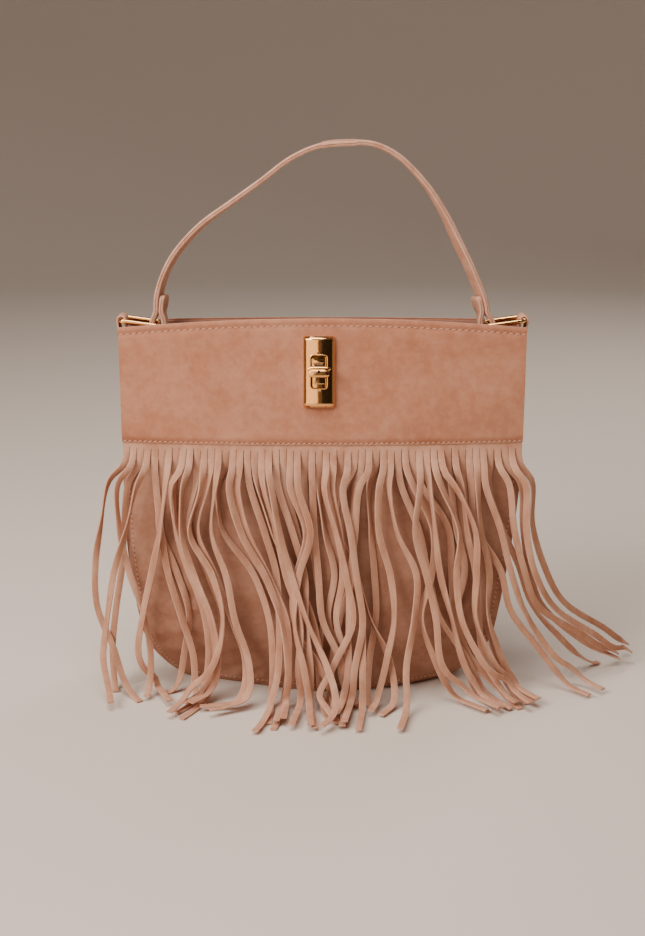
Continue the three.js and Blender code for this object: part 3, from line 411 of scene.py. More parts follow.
def gusset_path():
    """Points down the left side, along the base and up the right: x, z, half width, puff, outwards."""
    steps = GUSSET_TOP_STEPS
    heights = lower_heights() + [mix(SEAM_HEIGHT, GUSSET_TOP, (i + 1) / steps) for i in range(steps)]
    path = []
    for side in (-1, 1):
        run = []
        for z in heights:
            inner = band_depth(1, z) - BAND_THICKNESS
            hung = tucked_depth(side, z) - PANEL_THICKNESS
            half = mix(hung, inner, smooth((z - SEAM_HEIGHT - 4) / 8)) - GAP
            swell = GUSSET_PUFF * math.sin(math.pi * min(z / SEAM_HEIGHT, 1))
            run.append([shift(z) + side * half_width(z), z, half, swell])
        if side < 0:
            path = run[::-1]
            for i in range(1, GUSSET_BASE_STEPS):
                u = 2 * i / GUSSET_BASE_STEPS - 1
                half = tucked_depth(u, 0) - PANEL_THICKNESS - GAP
                path.append([shift(0) + u * half_width(0), 0, half, 0])
        else:
            path += run
    for i, place in enumerate(path):
        before, after = path[max(i - 1, 0)], path[min(i + 1, len(path) - 1)]
        along = Vector((after[0] - before[0], after[1] - before[1])).normalized()
        place.append(Vector((0, -1)) if place[1] == 0 else Vector((along.y, -along.x)))
    return path


def gusset():
    outer, inner = [], []
    path = gusset_path()
    for i, (x, z, half, puff, out) in enumerate(path):
        for j in range(GUSSET_COLUMNS + 1):
            v = 2 * j / GUSSET_COLUMNS - 1
            free = (1 - v * v) * smooth(z / 25)
            hills = GUSSET_RIPPLE * wave(v * half, z + x, GUSSET_RIPPLE_SPAN, 63 if x < 0 else 71) * free
            seam = GUSSET_SEAM_SINK * (1 - smooth((1 - abs(v)) * half / 3)) * smooth(z / 8)
            for points, depth in ((outer, puff * (1 - v * v) + hills - seam), (inner, -GUSSET_THICKNESS)):
                points.append((x + out.x * depth, v * half, z + out.y * depth))
    faces, rim = wall_faces(len(path), GUSSET_COLUMNS + 1)
    piece = mesh_object("gusset_suede", outer + inner, faces, "bag", BODY_SUEDE, rim)
    sharpen(piece)
    return piece


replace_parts(gusset(), "gusset")


# Fringe. One strip of suede, with a header sewn behind the band's lower edge. Slits cut it into
# strands, which twist edge on, sway, cross in layers and end on the ground.
FRINGE_THICKNESS = 1.2
STRAND_STEPS = 46
CURVE_STEPS = 12
SLIT_WIDTH = 0.35
SLIT_DROP = 5.5
HEADER_LAYER = 1.9
LAYER_STEP = 2.2
GROUND_STEP = 1.25
GLIDE_RUN = 36
DROP_LIFT = 5
GLIDE_LIFT = 11
CURL_LIFT = 3
LONGEST_STRAND = 207
FRINGE_CLEARANCE = 0.9
GROUND = 0.6 + FRINGE_THICKNESS / 2
GUIDE_HEIGHTS = (0.852, 0.682, 0.511, 0.341, 0.17)
FORWARD_AT_GUIDES = (0, 0, 0, 0.08, 0.24)
UPPER_TURN_HEIGHT = 132
UPPER_TURN_REACH = 27
LOWER_TURN_HEIGHT = 58
LOWER_TURN_REACH = 22
LOWER_TURN_DEGREES = 150
EDGE_ON_LIFT = 1.5
SLIT_TOP_DROP = 2.6
SLIT_TOP_SPREAD = 1.8
FRINGE_SUEDE = suede("suede_fringe", "#C59176", "#D9AC92", "#A97358", 20, 0.35)

# Each strand: where it passes at five heights and ends, as shares of the seam's half width, how
# far back it ends as a share of the seam's height, less than 0 being forward, its layer, and how
# many degrees it turns edge on. Where its tail curls on the ground, a place it passes comes last.
STRANDS = (
    (-1.07, -1.12, -1.16, -1.16, -1.08, -0.93, -0.31, 0, 80),
    (-1.02, -1.02, -0.98, -0.91, -0.88, -0.9, -0.3, 2.25, 60),
    (-0.97, -1, -1.02, -1.06, -1.09, -1.07, -0.22, 0, 30),
    (-0.92, -0.98, -1.05, -1.09, -1.12, -1.06, -0.39, 4.5, 80),
    (-0.83, -0.81, -0.78, -0.72, -0.66, -0.64, -0.31, 1.5, 8),
    (-0.8, -0.82, -0.74, -0.68, -0.71, -0.82, -0.23, 0, 30),
    (-0.78, -0.81, -0.86, -0.91, -0.94, -0.77, -0.35, 3, -70, -0.87, -0.2),
    (-0.74, -0.73, -0.67, -0.6, -0.58, -0.73, -0.41, 0, 70, -0.62, -0.29),
    (-0.75, -0.73, -0.66, -0.57, -0.54, -0.7, -0.38, 3.75, -80, -0.6, -0.29),
    (-0.69, -0.7, -0.64, -0.55, -0.53, -0.66, -0.39, 4.5, 80, -0.56, -0.3),
    (-0.63, -0.67, -0.58, -0.51, -0.53, -0.7, -0.46, 0, -60, -0.59, -0.31),
    (-0.6, -0.66, -0.55, -0.5, -0.55, -0.79, -0.51, 3.75, 80, -0.68, -0.33),
    (-0.57, -0.62, -0.54, -0.46, -0.39, -0.64, -0.39, 2.25, -80, -0.42, -0.36),
    (-0.53, -0.55, -0.48, -0.44, -0.37, -0.56, -0.44, 3.75, -80, -0.38, -0.37),
    (-0.52, -0.5, -0.35, -0.27, -0.25, -0.27, -0.63, 0, 75, -0.26, -0.35),
    (-0.46, -0.4, -0.28, -0.2, -0.17, -0.2, -0.66, 4.5, 35, -0.18, -0.36),
    (-0.42, -0.37, -0.27, -0.18, -0.17, -0.24, -0.58, 3.25, -40, -0.19, -0.35),
    (-0.36, -0.29, -0.23, -0.22, -0.22, -0.33, -0.59, 1.5, 20),
    (-0.32, -0.25, -0.14, -0.05, 0, 0.07, -0.54, 0.75, 85, 0.05, -0.35),
    (-0.29, -0.23, -0.18, -0.11, -0.12, -0.17, -0.64, 3, -60, -0.11, -0.37),
    (-0.25, -0.21, -0.15, -0.07, 0.03, -0.06, -0.66, 4.5, 40, 0.06, -0.5),
    (-0.22, -0.15, -0.09, -0.08, -0.06, -0.02, -0.68, 1.5, 5, -0.06, -0.37),
    (-0.19, -0.13, -0.1, -0.15, -0.16, -0.26, -0.62, 0, 15, -0.19, -0.36),
    (-0.16, -0.08, -0.13, -0.15, -0.02, 0.04, -0.51, 2.5, 20, 0.06, -0.35),
    (-0.12, -0.06, -0.12, -0.14, -0.09, -0.05, -0.66, 3.75, 0, -0.07, -0.38),
    (-0.09, -0.06, -0.03, 0, -0.02, 0.03, -0.47, 0, 20),
    (-0.05, -0.04, -0.02, 0, 0.1, 0.09, -0.58, 1.5, 8, 0.12, -0.35),
    (-0.02, 0.01, 0.06, 0.03, 0.08, 0.18, -0.35, 0, 75),
    (0.01, 0.07, 0.12, 0.15, 0.05, 0.05, -0.51, 4.75, -50, -0.01, -0.37),
    (0.05, 0.09, 0.1, 0.07, 0.13, 0.17, -0.38, 3, -60),
    (0.09, 0.11, 0.15, 0.09, 0.05, 0.01, -0.41, 0, 0),
    (0.1, 0.14, 0.17, 0.2, 0.16, 0.1, -0.58, 5, 15, 0.15, -0.36),
    (0.11, 0.09, 0.16, 0.2, 0.2, 0.15, -0.74, 1.5, -75, 0.2, -0.4),
    (0.16, 0.15, 0.17, 0.24, 0.34, 0.29, -0.44, 0.75, -60, 0.36, -0.36),
    (0.18, 0.16, 0.14, 0.13, 0.13, 0.07, -0.47, 4, 0),
    (0.23, 0.24, 0.26, 0.27, 0.24, 0.25, -0.38, 0, 70, 0.23, -0.34),
    (0.28, 0.28, 0.34, 0.36, 0.32, 0.24, -0.44, 3, 20, 0.28, -0.35),
    (0.33, 0.37, 0.47, 0.46, 0.42, 0.35, -0.67, 2.25, -70, 0.42, -0.42),
    (0.39, 0.48, 0.53, 0.59, 0.73, 1.02, -0.45, 0.75, 20, 0.83, -0.27),
    (0.45, 0.55, 0.55, 0.5, 0.57, 0.87, -0.44, 1.5, 50, 0.66, -0.3),
    (0.49, 0.63, 0.65, 0.67, 0.75, 1.03, -0.42, 0, -25, 0.92, -0.27),
    (0.48, 0.46, 0.52, 0.57, 0.6, 0.93, -0.47, 4.75, 30, 0.72, -0.31),
    (0.53, 0.56, 0.59, 0.65, 0.71, 0.9, -0.41, 3, -70, 0.79, -0.28),
    (0.59, 0.68, 0.67, 0.7, 0.81, 1.1, -0.48, 5, 65, 0.95, -0.27),
    (0.66, 0.76, 0.77, 0.77, 0.86, 1.11, -0.38, 5, -60, 0.97, -0.24),
    (0.64, 0.67, 0.72, 0.68, 0.73, 0.84, -0.31, 0, 30),
    (0.69, 0.72, 0.77, 0.79, 0.82, 0.98, -0.36, 2.75, -60),
    (0.71, 0.74, 0.81, 0.83, 0.89, 1.04, -0.33, 0, 50),
    (0.74, 0.77, 0.9, 0.96, 1.12, 1.42, -0.31, 1.5, -30, 1.26, -0.2),
    (0.77, 0.79, 0.84, 0.84, 0.91, 1.07, -0.35, 3, 50, 0.99, -0.23),
    (0.81, 0.89, 0.95, 1.03, 1.17, 1.49, -0.28, 3, -20, 1.34, -0.16),
    (0.83, 0.9, 1, 1.08, 1.25, 1.53, 0.08, 0, 60),
    (0.93, 0.96, 1.02, 1.11, 1.39, 1.71, 0.12, 2.25, -30),
    (0.99, 1.01, 1.05, 1.13, 1.34, 1.73, 0.1, 0.75, 30),
    (1.01, 1.02, 1.07, 1.19, 1.46, 1.76, 0.11, 3.75, -35),
    (1.05, 1.06, 1.13, 1.25, 1.52, 1.81, 0.26, 0.75, 50),
)


def scatter(i):
    """A share from 0 to 1 that looks random, the same each time for a number."""
    value = math.sin(i * 12.9898) * 43758.5453
    return value - math.floor(value)


def hang_depth(x, z):
    u = (x - shift(z)) / half_width(z)
    over = max(abs(u) - 1, 0)
    return panel_depth(clamp(u, -1, 1), z) * (1 - min(over, 1))


def header_depth(x, z):
    """Depth of the middle of the header's thickness."""
    u = x / SEAM_HALF_WIDTH
    if z >= SEAM_HEIGHT:
        return band_depth(u, z) - HEADER_LAYER - FRINGE_THICKNESS / 2
    return panel_depth(u, z) + PANEL_LAYER - HEADER_LAYER - FRINGE_THICKNESS / 2


def strand_points(k, start):
    """The points that a strand's middle line goes through, from its slit to its end."""
    passes, (end_x, end_y), curl = STRANDS[k][:5], STRANDS[k][5:7], STRANDS[k][9:]
    across = [SEAM_HALF_WIDTH * share for share in passes]
    end = Vector((SEAM_HALF_WIDTH * end_x, SEAM_HEIGHT * end_y, GROUND))
    top = SEAM_HEIGHT - SLIT_DROP
    clear = FRINGE_CLEARANCE + FRINGE_THICKNESS / 2
    points = [Vector((start, -header_depth(start, top), top))]
    near = mix(top, SEAM_HEIGHT * GUIDE_HEIGHTS[0], 0.45)
    points.append(Vector((mix(start, across[0], 0.15), -header_depth(start, near), near)))
    for x, share, reach in zip(across, GUIDE_HEIGHTS, FORWARD_AT_GUIDES):
        z = SEAM_HEIGHT * share
        points.append(Vector((x, mix(-hang_depth(x, z) - clear, end.y, reach), z)))
    hem = points[-1]
    if curl:
        points.append(Vector((SEAM_HALF_WIDTH * curl[0], SEAM_HEIGHT * curl[1], GROUND + CURL_LIFT)))
        points.append(Vector((*mix(points[-1], end, 0.55).xy, GROUND)))
    else:
        glide = smooth((end.x - hem.x) / GLIDE_RUN)
        steps = ((0.35, 0.42, 0.4, mix(DROP_LIFT, GLIDE_LIFT, glide)), (0.68, 0.78, 0.7, glide))
        for near, far, forward, lift in steps:
            x = mix(hem.x, end.x, mix(near, far, glide))
            points.append(Vector((x, mix(hem.y, end.y, forward), GROUND + lift)))
    points.append(end)
    return points


def smooth_line(points, count, longest=math.inf):
    """Points evenly along a smooth curve through the given ones, with its directions."""
    padded = [2 * points[0] - points[1], *points, 2 * points[-1] - points[-2]]
    dense = []
    for i in range(1, len(padded) - 2):
        a, b, c, d = padded[i - 1:i + 3]
        knots = [0.0]
        for p, q in ((a, b), (b, c), (c, d)):
            knots.append(knots[-1] + max((q - p).length, 1e-6) ** 0.5)
        for step in range(CURVE_STEPS):
            t = mix(knots[1], knots[2], step / CURVE_STEPS)
            dense.append(spline_point((a, b, c, d), knots, t))
    dense.append(points[-1])
    lengths = [0.0]
    for p, q in zip(dense, dense[1:]):
        lengths.append(lengths[-1] + (q - p).length)
    line, spot = [], 0
    for i in range(count + 1):
        goal = min(lengths[-1], longest) * i / count
        while spot < len(dense) - 2 and lengths[spot + 1] < goal:
            spot += 1
        share = (goal - lengths[spot]) / max(lengths[spot + 1] - lengths[spot], 1e-9)
        line.append(mix(dense[spot], dense[spot + 1], clamp(share)))
    ends = [line[0], *line, line[-1]]
    ways = [(ends[i + 2] - ends[i]).normalized() for i in range(len(line))]
    return line, ways


def spline_point(four, knots, t):
    """A centripetal curve between the second and third of four points."""
    def between(first, last, low, high):
        return mix(first, last, (t - knots[low]) / (knots[high] - knots[low]))

    a, b, c = (between(four[i], four[i + 1], i, i + 1) for i in range(3))
    return between(between(a, b, 0, 2), between(b, c, 1, 3), 1, 2)


def strand_turn(k, z):
    """How far a strand is turned edge on at a height, in radians."""
    upper = math.exp(-(((z - UPPER_TURN_HEIGHT) / UPPER_TURN_REACH) ** 2))
    upper *= smooth((SEAM_HEIGHT - SLIT_DROP - z) / 22)
    lower = math.exp(-(((z - LOWER_TURN_HEIGHT) / LOWER_TURN_REACH) ** 2))
    second = (scatter(k + 40) - 0.5) * LOWER_TURN_DEGREES
    return math.radians(STRANDS[k][8] * upper + second * lower)


# A strand's section as shares of its half width and half thickness. Its corners are soft.
STRAND_SECTION = (
    (1, 0.72), (0.86, 1), (0, 1.05), (-0.86, 1), (-1, 0.72), (-1, -0.72), (0, -1), (1, -0.72),
)
STRAND_SIDES = len(STRAND_SECTION)
STRAND_EDGE_FACES = (0, 3, 4, 7)


def strand_rings(k, start, width):
    line, ways = smooth_line(strand_points(k, start), STRAND_STEPS, LONGEST_STRAND)
    layer = STRANDS[k][7]
    rings = []
    for i in range(1, STRAND_STEPS + 1):
        centre, along = line[i], ways[i]
        lying = smooth(1 - centre.z / (SEAM_HEIGHT * GUIDE_HEIGHTS[4]))
        out = Vector((0, -(1 - lying), lying)).normalized()
        across = along.cross(out).normalized()
        face = across.cross(along).normalized()
        turn = strand_turn(k, centre.z) * (1 - lying)
        step = mix(LAYER_STEP, GROUND_STEP, lying)
        lift = layer * step * smooth(i / STRAND_STEPS / 0.07) + EDGE_ON_LIFT * abs(math.sin(turn))
        middle = centre + face * lift
        wide = across * math.cos(turn) + face * math.sin(turn)
        thick = face * math.cos(turn) - across * math.sin(turn)
        wide, thick = wide * (width / 2), thick * (FRINGE_THICKNESS / 2)
        rings.append([middle + wide * a + thick * b for a, b in STRAND_SECTION])
    return rings


def slit_top(k):
    """Height of a slit's upper end. They are cut by hand, so no two are quite level."""
    return SEAM_HEIGHT - SLIT_TOP_DROP - SLIT_TOP_SPREAD * scatter(k + 90)


def header_column(points, x, bottom):
    """Add the header's points at one place across, front and back, and return their numbers."""
    column = []
    for z in (SEAM_HEIGHT + SEAM_OVERLAP, SEAM_HEIGHT, SEAM_HEIGHT - 1, bottom):
        depth = header_depth(x, z)
        column.append((len(points), len(points) + 1))
        points.extend([(x, -depth - FRINGE_THICKNESS / 2, z), (x, -depth + FRINGE_THICKNESS / 2, z)])
    return column


def header_faces(a, b):
    """The header's front, back and top edge between two columns."""
    faces = []
    for i in range(len(a) - 1):
        faces.append((a[i][0], b[i][0], b[i + 1][0], a[i + 1][0]))
        faces.append((a[i][1], a[i + 1][1], b[i + 1][1], b[i][1]))
    return faces + [(a[0][0], a[0][1], b[0][1], b[0][0])]


def neck_faces(left, middle, right, ring):
    """Faces from six points of the header's lower edge to the eight of a strand's first ring."""
    top = [left[-1][0], middle[-1][0], right[-1][0], right[-1][1], middle[-1][1], left[-1][1]]
    faces = []
    for a, j in ((0, 1), (1, 2), (2, 4), (3, 5), (4, 6), (5, 7)):
        faces.append((top[a], top[(a + 1) % 6], ring[(j + 1) % STRAND_SIDES], ring[j]))
    return faces + [(top[a], ring[i], ring[j]) for a, i, j in ((0, 1, 0), (2, 4, 3))]


def fringe():
    count = len(STRANDS)
    pitch = 2 * (SEAM_HALF_WIDTH - SLIT_WIDTH) / count
    width = pitch - SLIT_WIDTH
    points, faces, edges, before = [], [], [], None
    for k in range(count):
        start = (k + 0.5 - count / 2) * pitch
        left = header_column(points, start - width / 2, slit_top(k))
        middle = header_column(points, start, (slit_top(k) + slit_top(k + 1)) / 2)
        right = header_column(points, start + width / 2, slit_top(k + 1))
        faces += header_faces(left, middle) + header_faces(middle, right)
        if before:
            faces += header_faces(before, left)
            faces.append((before[-1][0], left[-1][0], left[-1][1], before[-1][1]))
        before = right
        for outermost, column in ((0, left), (count - 1, right)):
            if k == outermost:
                faces += [(a[0], b[0], b[1], a[1]) for a, b in zip(column, column[1:])]
        last = None
        for ring in strand_rings(k, start, width):
            ids = list(range(len(points), len(points) + STRAND_SIDES))
            points.extend(ring)
            if last is None:
                faces += neck_faces(left, middle, right, ids)
            else:
                edges += [len(faces) + j for j in STRAND_EDGE_FACES]
                around = [(j, (j + 1) % STRAND_SIDES) for j in range(STRAND_SIDES)]
                faces += [(last[j], last[after], ids[after], ids[j]) for j, after in around]
            last = ids
        edges.append(len(faces))
        faces.append(tuple(last))
    piece = mesh_object("fringe_suede", points, faces, "bag", FRINGE_SUEDE, edges)
    sharpen(piece)
    return piece


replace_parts(fringe(), "fringe")


# Stitches. Waxed thread is sewn by hand through pricked holes, so each stitch slants. One node
# tree lays a stitch and a flat dark bead, painted shade for its hole, along a row at a fixed pitch.
STITCH_PITCH = 4.2
SEAM_PITCH = 3.4
THREAD_WIDTH = 0.75
STITCH_SHARE = 0.74
STITCH_SLANT = 16
SLANT_SPREAD = 5
ROW_END = 0.985
EDGE_INSET = 4.5
EDGE_ROW_FOOT = 5.5
EDGE_ROW_TURN = 9


def thread(name, colour, shade, roughness):
    """Twisted thread, with its plies as fine light and dark."""
    material, tree, shader = start_material(name)
    place = node(tree, "ShaderNodeTexCoord").outputs["Object"]
    inputs = {"Vector": place, "Scale": 1 / (0.25 * MM), "Detail": 2.0}
    twist = node(tree, "ShaderNodeTexNoise", inputs).outputs["Fac"]
    inputs = {"Factor": twist, "A": linear(colour), "B": linear(shade)}
    mixed = node(tree, "ShaderNodeMix", inputs, data_type="RGBA").outputs["Result"]
    tree.links.new(mixed, shader.inputs["Base Color"])
    bump = node(tree, "ShaderNodeBump", {"Height": twist, "Strength": 0.4, "Distance": 0.05 * MM})
    tree.links.new(bump.outputs["Normal"], shader.inputs["Normal"])
    shader.inputs["Roughness"].default_value = roughness
    return material


THREAD = thread("suede_thread", "#D8AE96", "#BE8E76", 0.7)
# The holes are not cut into the suede: a flat dark bead at the surface is painted shade for each hole.
PAINTED_HOLE_SHADE = thread("pricked_hole_painted_shade", "#6A4231", "#4A2C20", 0.95)


def stitch_tree():
    tree = bpy.data.node_groups.new("stitch_row", "GeometryNodeTree")
    for name, kind in (
        ("Row", "Geometry"), ("Pitch", "Float"), ("Length", "Float"), ("Width", "Float"),
        ("Slant", "Float"), ("Uneven", "Float"), ("Seed", "Int"), ("Thread", "Material"),
        ("HoleShade", "Material"),
    ):
        tree.interface.new_socket(name=name, in_out="INPUT", socket_type="NodeSocket" + kind)
    tree.interface.new_socket(name="Stitches", in_out="OUTPUT", socket_type="NodeSocketGeometry")
    given = node(tree, "NodeGroupInput").outputs
    row = node(tree, "GeometryNodeMeshToCurve", {"Mesh": given["Row"]}).outputs["Curve"]
    inputs = {"Curve": row, "Length": given["Pitch"]}
    spaced = node(tree, "GeometryNodeResampleCurve", inputs, mode="LENGTH").outputs["Curve"]
    along = node(tree, "GeometryNodeInputTangent").outputs["Tangent"]
    named = node(tree, "GeometryNodeInputNamedAttribute", {"Name": "out"}, data_type="FLOAT_VECTOR")
    out = named.outputs["Attribute"]
    lie = node(tree, "FunctionNodeAlignRotationToVector", {"Vector": along}, axis="X").outputs["Rotation"]
    inputs = {"Rotation": lie, "Vector": out}
    stand = node(tree, "FunctionNodeAlignRotationToVector", inputs, axis="Z", pivot_axis="X")
    lie = stand.outputs["Rotation"]
    inputs = {0: given["Slant"], 1: given["Uneven"]}
    less = node(tree, "ShaderNodeMath", inputs, operation="SUBTRACT").outputs[0]
    more = node(tree, "ShaderNodeMath", inputs, operation="ADD").outputs[0]
    inputs = {"Min": less, "Max": more, "Seed": given["Seed"]}
    angle = node(tree, "FunctionNodeRandomValue", inputs, data_type="FLOAT").outputs["Value"]
    turn = node(tree, "ShaderNodeCombineXYZ", {"Z": angle}).outputs["Vector"]
    turn = node(tree, "FunctionNodeEulerToRotation", {"Euler": turn}).outputs["Rotation"]
    inputs = {"Rotation": lie, "Rotate By": turn}
    lie = node(tree, "FunctionNodeRotateRotation", inputs, rotation_space="LOCAL").outputs["Rotation"]
    inputs = {"Segments": 8, "Rings": 6, "Radius": 0.5}
    bead = node(tree, "GeometryNodeMeshUVSphere", inputs).outputs["Mesh"]
    inputs = {"X": given["Length"], "Y": given["Width"], "Z": given["Width"]}
    size = node(tree, "ShaderNodeCombineXYZ", inputs)
    inputs = {"Geometry": bead, "Scale": size.outputs["Vector"]}
    stitch = node(tree, "GeometryNodeTransform", inputs).outputs["Geometry"]
    inputs = {"Geometry": stitch, "Material": given["Thread"]}
    stitch = node(tree, "GeometryNodeSetMaterial", inputs).outputs["Geometry"]
    # A flat dark bead at each hole, painted shade for the hole's recess.
    half = node(tree, "ShaderNodeMath", {0: given["Pitch"], 1: -0.5}, operation="MULTIPLY").outputs[0]
    place = node(tree, "ShaderNodeCombineXYZ", {"X": half, "Y": given["Width"]}).outputs["Vector"]
    flat = node(tree, "ShaderNodeMath", {0: given["Width"], 1: 0.4}, operation="MULTIPLY").outputs[0]
    size = node(tree, "ShaderNodeCombineXYZ", {"X": given["Width"], "Y": given["Width"], "Z": flat})
    inputs = {"Geometry": bead, "Scale": size.outputs["Vector"], "Translation": place}
    hole_shade = node(tree, "GeometryNodeTransform", inputs).outputs["Geometry"]
    inputs = {"Geometry": hole_shade, "Material": given["HoleShade"]}
    hole_shade = node(tree, "GeometryNodeSetMaterial", inputs).outputs["Geometry"]
    both = node(tree, "GeometryNodeJoinGeometry")
    for part in (stitch, hole_shade):
        tree.links.new(part, both.inputs["Geometry"])
    inputs = {"Points": spaced, "Instance": both.outputs["Geometry"], "Rotation": lie}
    rows = node(tree, "GeometryNodeInstanceOnPoints", inputs).outputs["Instances"]
    done = node(tree, "GeometryNodeRealizeInstances", {"Geometry": rows}).outputs["Geometry"]
    node(tree, "NodeGroupOutput", {"Stitches": done})
    return tree


STITCH_TREE = stitch_tree()


def stitches(name, rows, pitch, seed, body="bag"):
    """Stitches along rows of places and outward directions, in millimetres."""
    line = bpy.data.meshes.new(name + "_rows")
    places = [place for row in rows for place, _ in row]
    edges, first = [], 0
    for row in rows:
        edges.extend((i, i + 1) for i in range(first, first + len(row) - 1))
        first += len(row)
    line.from_pydata([tuple(c * MM for c in place) for place in places], edges, [])
    outwards = line.attributes.new("out", "FLOAT_VECTOR", "POINT")
    for i, out in enumerate(out for row in rows for _, out in row):
        outwards.data[i].vector = out
    holder = bpy.data.objects.new(name + "_rows", line)
    bpy.context.collection.objects.link(holder)
    modifier = holder.modifiers.new("stitches", "NODES")
    modifier.node_group = STITCH_TREE
    values = {
        "Pitch": pitch * MM, "Length": STITCH_SHARE * pitch * MM, "Width": THREAD_WIDTH * MM,
        "Slant": math.radians(STITCH_SLANT), "Uneven": math.radians(SLANT_SPREAD), "Seed": seed,
        "Thread": THREAD, "HoleShade": PAINTED_HOLE_SHADE,
    }
    for item in STITCH_TREE.interface.items_tree:
        if item.in_out == "INPUT" and item.name in values:
            modifier[item.identifier] = values[item.name]
    mesh = bpy.data.meshes.new_from_object(holder.evaluated_get(bpy.context.evaluated_depsgraph_get()))
    bpy.data.objects.remove(holder)
    mesh.name = name
    for face in mesh.polygons:
        face.use_smooth = True
    piece = bpy.data.objects.new(name, mesh)
    bpy.context.collection.objects.link(piece)
    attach(piece, body)
    return piece


def row_on(surface, side, places):
    """Places on a face with their outward directions. A place is a share across and a height."""
    row = []
    for u, z in places:
        here = surface(side, u, z)
        across = surface(side, u + 0.004, z) - here
        up = surface(side, u, z + 0.5) - here
        out = across.cross(up).normalized()
        row.append((here, out if out.y * side > 0 else -out))
    return row


def across_band(height):
    return [(u, height(u)) for u in (mix(-ROW_END, ROW_END, i / 90) for i in range(91))]


for side, name in ((-1, "front"), (1, "back")):
    places = across_band(lambda u: top_height(u, side) - TOP_STITCH_INSET)
    top_row = row_on(band_surface, side, places)
    places = across_band(lambda u: SEAM_HEIGHT + LOW_STITCH_INSET)
    low_row = row_on(band_surface, side, places)
    stitches(name + "_top_stitches", [top_row], STITCH_PITCH, 3)
    stitches(name + "_seam_stitches", [low_row], SEAM_PITCH, 5)
    rising = [z for z in lower_heights() if z > EDGE_ROW_TURN]
    edge = [(-1 + EDGE_INSET / half_width(z), z) for z in rising[::-1]]
    edge += [(mix(edge[-1][0], -edge[-1][0], i / 60), EDGE_ROW_FOOT) for i in range(3, 58)]
    edge += [(1 - EDGE_INSET / half_width(z), z) for z in rising]
    stitches(name + "_edge_stitches", [row_on(panel_surface, side, edge)], SEAM_PITCH, 7)


# Mouth. The inner plies of suede line the upper part, with boards between them and the bands. A
# cloth pouch hangs inside, and a board lies under it.
FACING_BOTTOM = 184.9
FACING_DROP = 0.8
FACING_THICKNESS = 1.4
FACING_SIDE_GAP = 0.6
FACING_ROLL = 0.4
FACING_SWELL = 0.5
FACING_SWELL_SPAN = 40
FACING_ROWS = 20
FACING_COLUMNS = 120
LINING_THICKNESS = 0.7
LINING_GAP = 0.5
LINING_LIFT = 4
LINING_RIM = 190.9
LINING_SLACK = 1.6
LINING_WAVE = 1.4
LINING_WAVE_SPAN = 34
LINING_COLUMNS = 60
BOARD_MARGIN = 4
BOARD_BOTTOM = 1.9
BOARD_TOP = 3.7
BOARD_BEVEL = 0.4
BOARD_COLUMNS = 60
INSIDE_SUEDE = suede("suede_inside", "#B68370", "#C79784", "#A36F5C")


def facing(name, side):
    outer, inner = [], []
    for i in range(FACING_ROWS + 1):
        for j in range(FACING_COLUMNS + 1):
            u = 2 * j / FACING_COLUMNS - 1
            z = mix(FACING_BOTTOM, top_height(u, side) - FACING_DROP, i / FACING_ROWS)
            x = u * (half_width(z) - GUSSET_THICKNESS - FACING_SIDE_GAP)
            rolled = FACING_ROLL * smooth(1 - (FACING_ROWS - i) * 2)
            free = smooth((1 - abs(u)) * 8) * smooth((FACING_ROWS - i) / 4)
            swell = (FACING_SWELL + FACING_SWELL * wave(x, z, FACING_SWELL_SPAN, 81 + side)) * free
            near = band_depth(u, z) - PANEL_LAYER
            outer.append((x, side * (near - rolled), z))
            inner.append((x, side * (near - FACING_THICKNESS - swell + rolled), z))
    faces, rim = wall_faces(FACING_ROWS + 1, FACING_COLUMNS + 1)
    piece = mesh_object(name, outer + inner, faces, "bag", INSIDE_SUEDE, rim)
    sharpen(piece)
    return piece


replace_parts(facing("front_facing_suede", -1), "front_facing")
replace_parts(facing("back_facing_suede", 1), "back_facing")


def lining_cloth():
    """Plain woven cotton, with threads drawn about twice as coarse as real ones so that they show."""
    material, tree, shader = start_material("lining_cloth")
    place = node(tree, "ShaderNodeTexCoord").outputs["Object"]
    parts = node(tree, "ShaderNodeSeparateXYZ", {"Vector": place}).outputs
    waves = []
    for axis in ("X", "Z"):
        inputs = {0: parts[axis], 1: 2 * math.pi / (0.6 * MM)}
        turn = node(tree, "ShaderNodeMath", inputs, operation="MULTIPLY").outputs[0]
        waves.append(node(tree, "ShaderNodeMath", {0: turn}, operation="SINE").outputs[0])
    threads = node(tree, "ShaderNodeMath", {0: waves[0], 1: waves[1]}, operation="MAXIMUM").outputs[0]
    inputs = {"Value": threads, "From Min": -0.5}
    share = node(tree, "ShaderNodeMapRange", inputs).outputs["Result"]
    inputs = {"Factor": share, "A": linear("#8F745C"), "B": linear("#C3A98F")}
    colour = node(tree, "ShaderNodeMix", inputs, data_type="RGBA").outputs["Result"]
    tree.links.new(colour, shader.inputs["Base Color"])
    bump = node(tree, "ShaderNodeBump", {"Height": threads, "Strength": 0.4, "Distance": 0.15 * MM})
    tree.links.new(bump.outputs["Normal"], shader.inputs["Normal"])
    shader.inputs["Roughness"].default_value = 0.85
    return material


def fibre_board():
    """Pressed grey-brown fibre board, mottled and matt."""
    material, tree, shader = start_material("board")
    place = node(tree, "ShaderNodeTexCoord").outputs["Object"]
    fibres = node(tree, "ShaderNodeTexNoise", {"Vector": place, "Scale": 1 / (0.7 * MM), "Detail": 4.0})
    inputs = {"Factor": fibres.outputs["Fac"], "A": linear("#6E6253"), "B": linear("#94877A")}
    colour = node(tree, "ShaderNodeMix", inputs, data_type="RGBA").outputs["Result"]
    tree.links.new(colour, shader.inputs["Base Color"])
    inputs = {"Height": fibres.outputs["Fac"], "Strength": 0.3, "Distance": 0.1 * MM}
    tree.links.new(node(tree, "ShaderNodeBump", inputs).outputs["Normal"], shader.inputs["Normal"])
    shader.inputs["Roughness"].default_value = 0.9
    return material


LINING_CLOTH = lining_cloth()
BOARD = fibre_board()


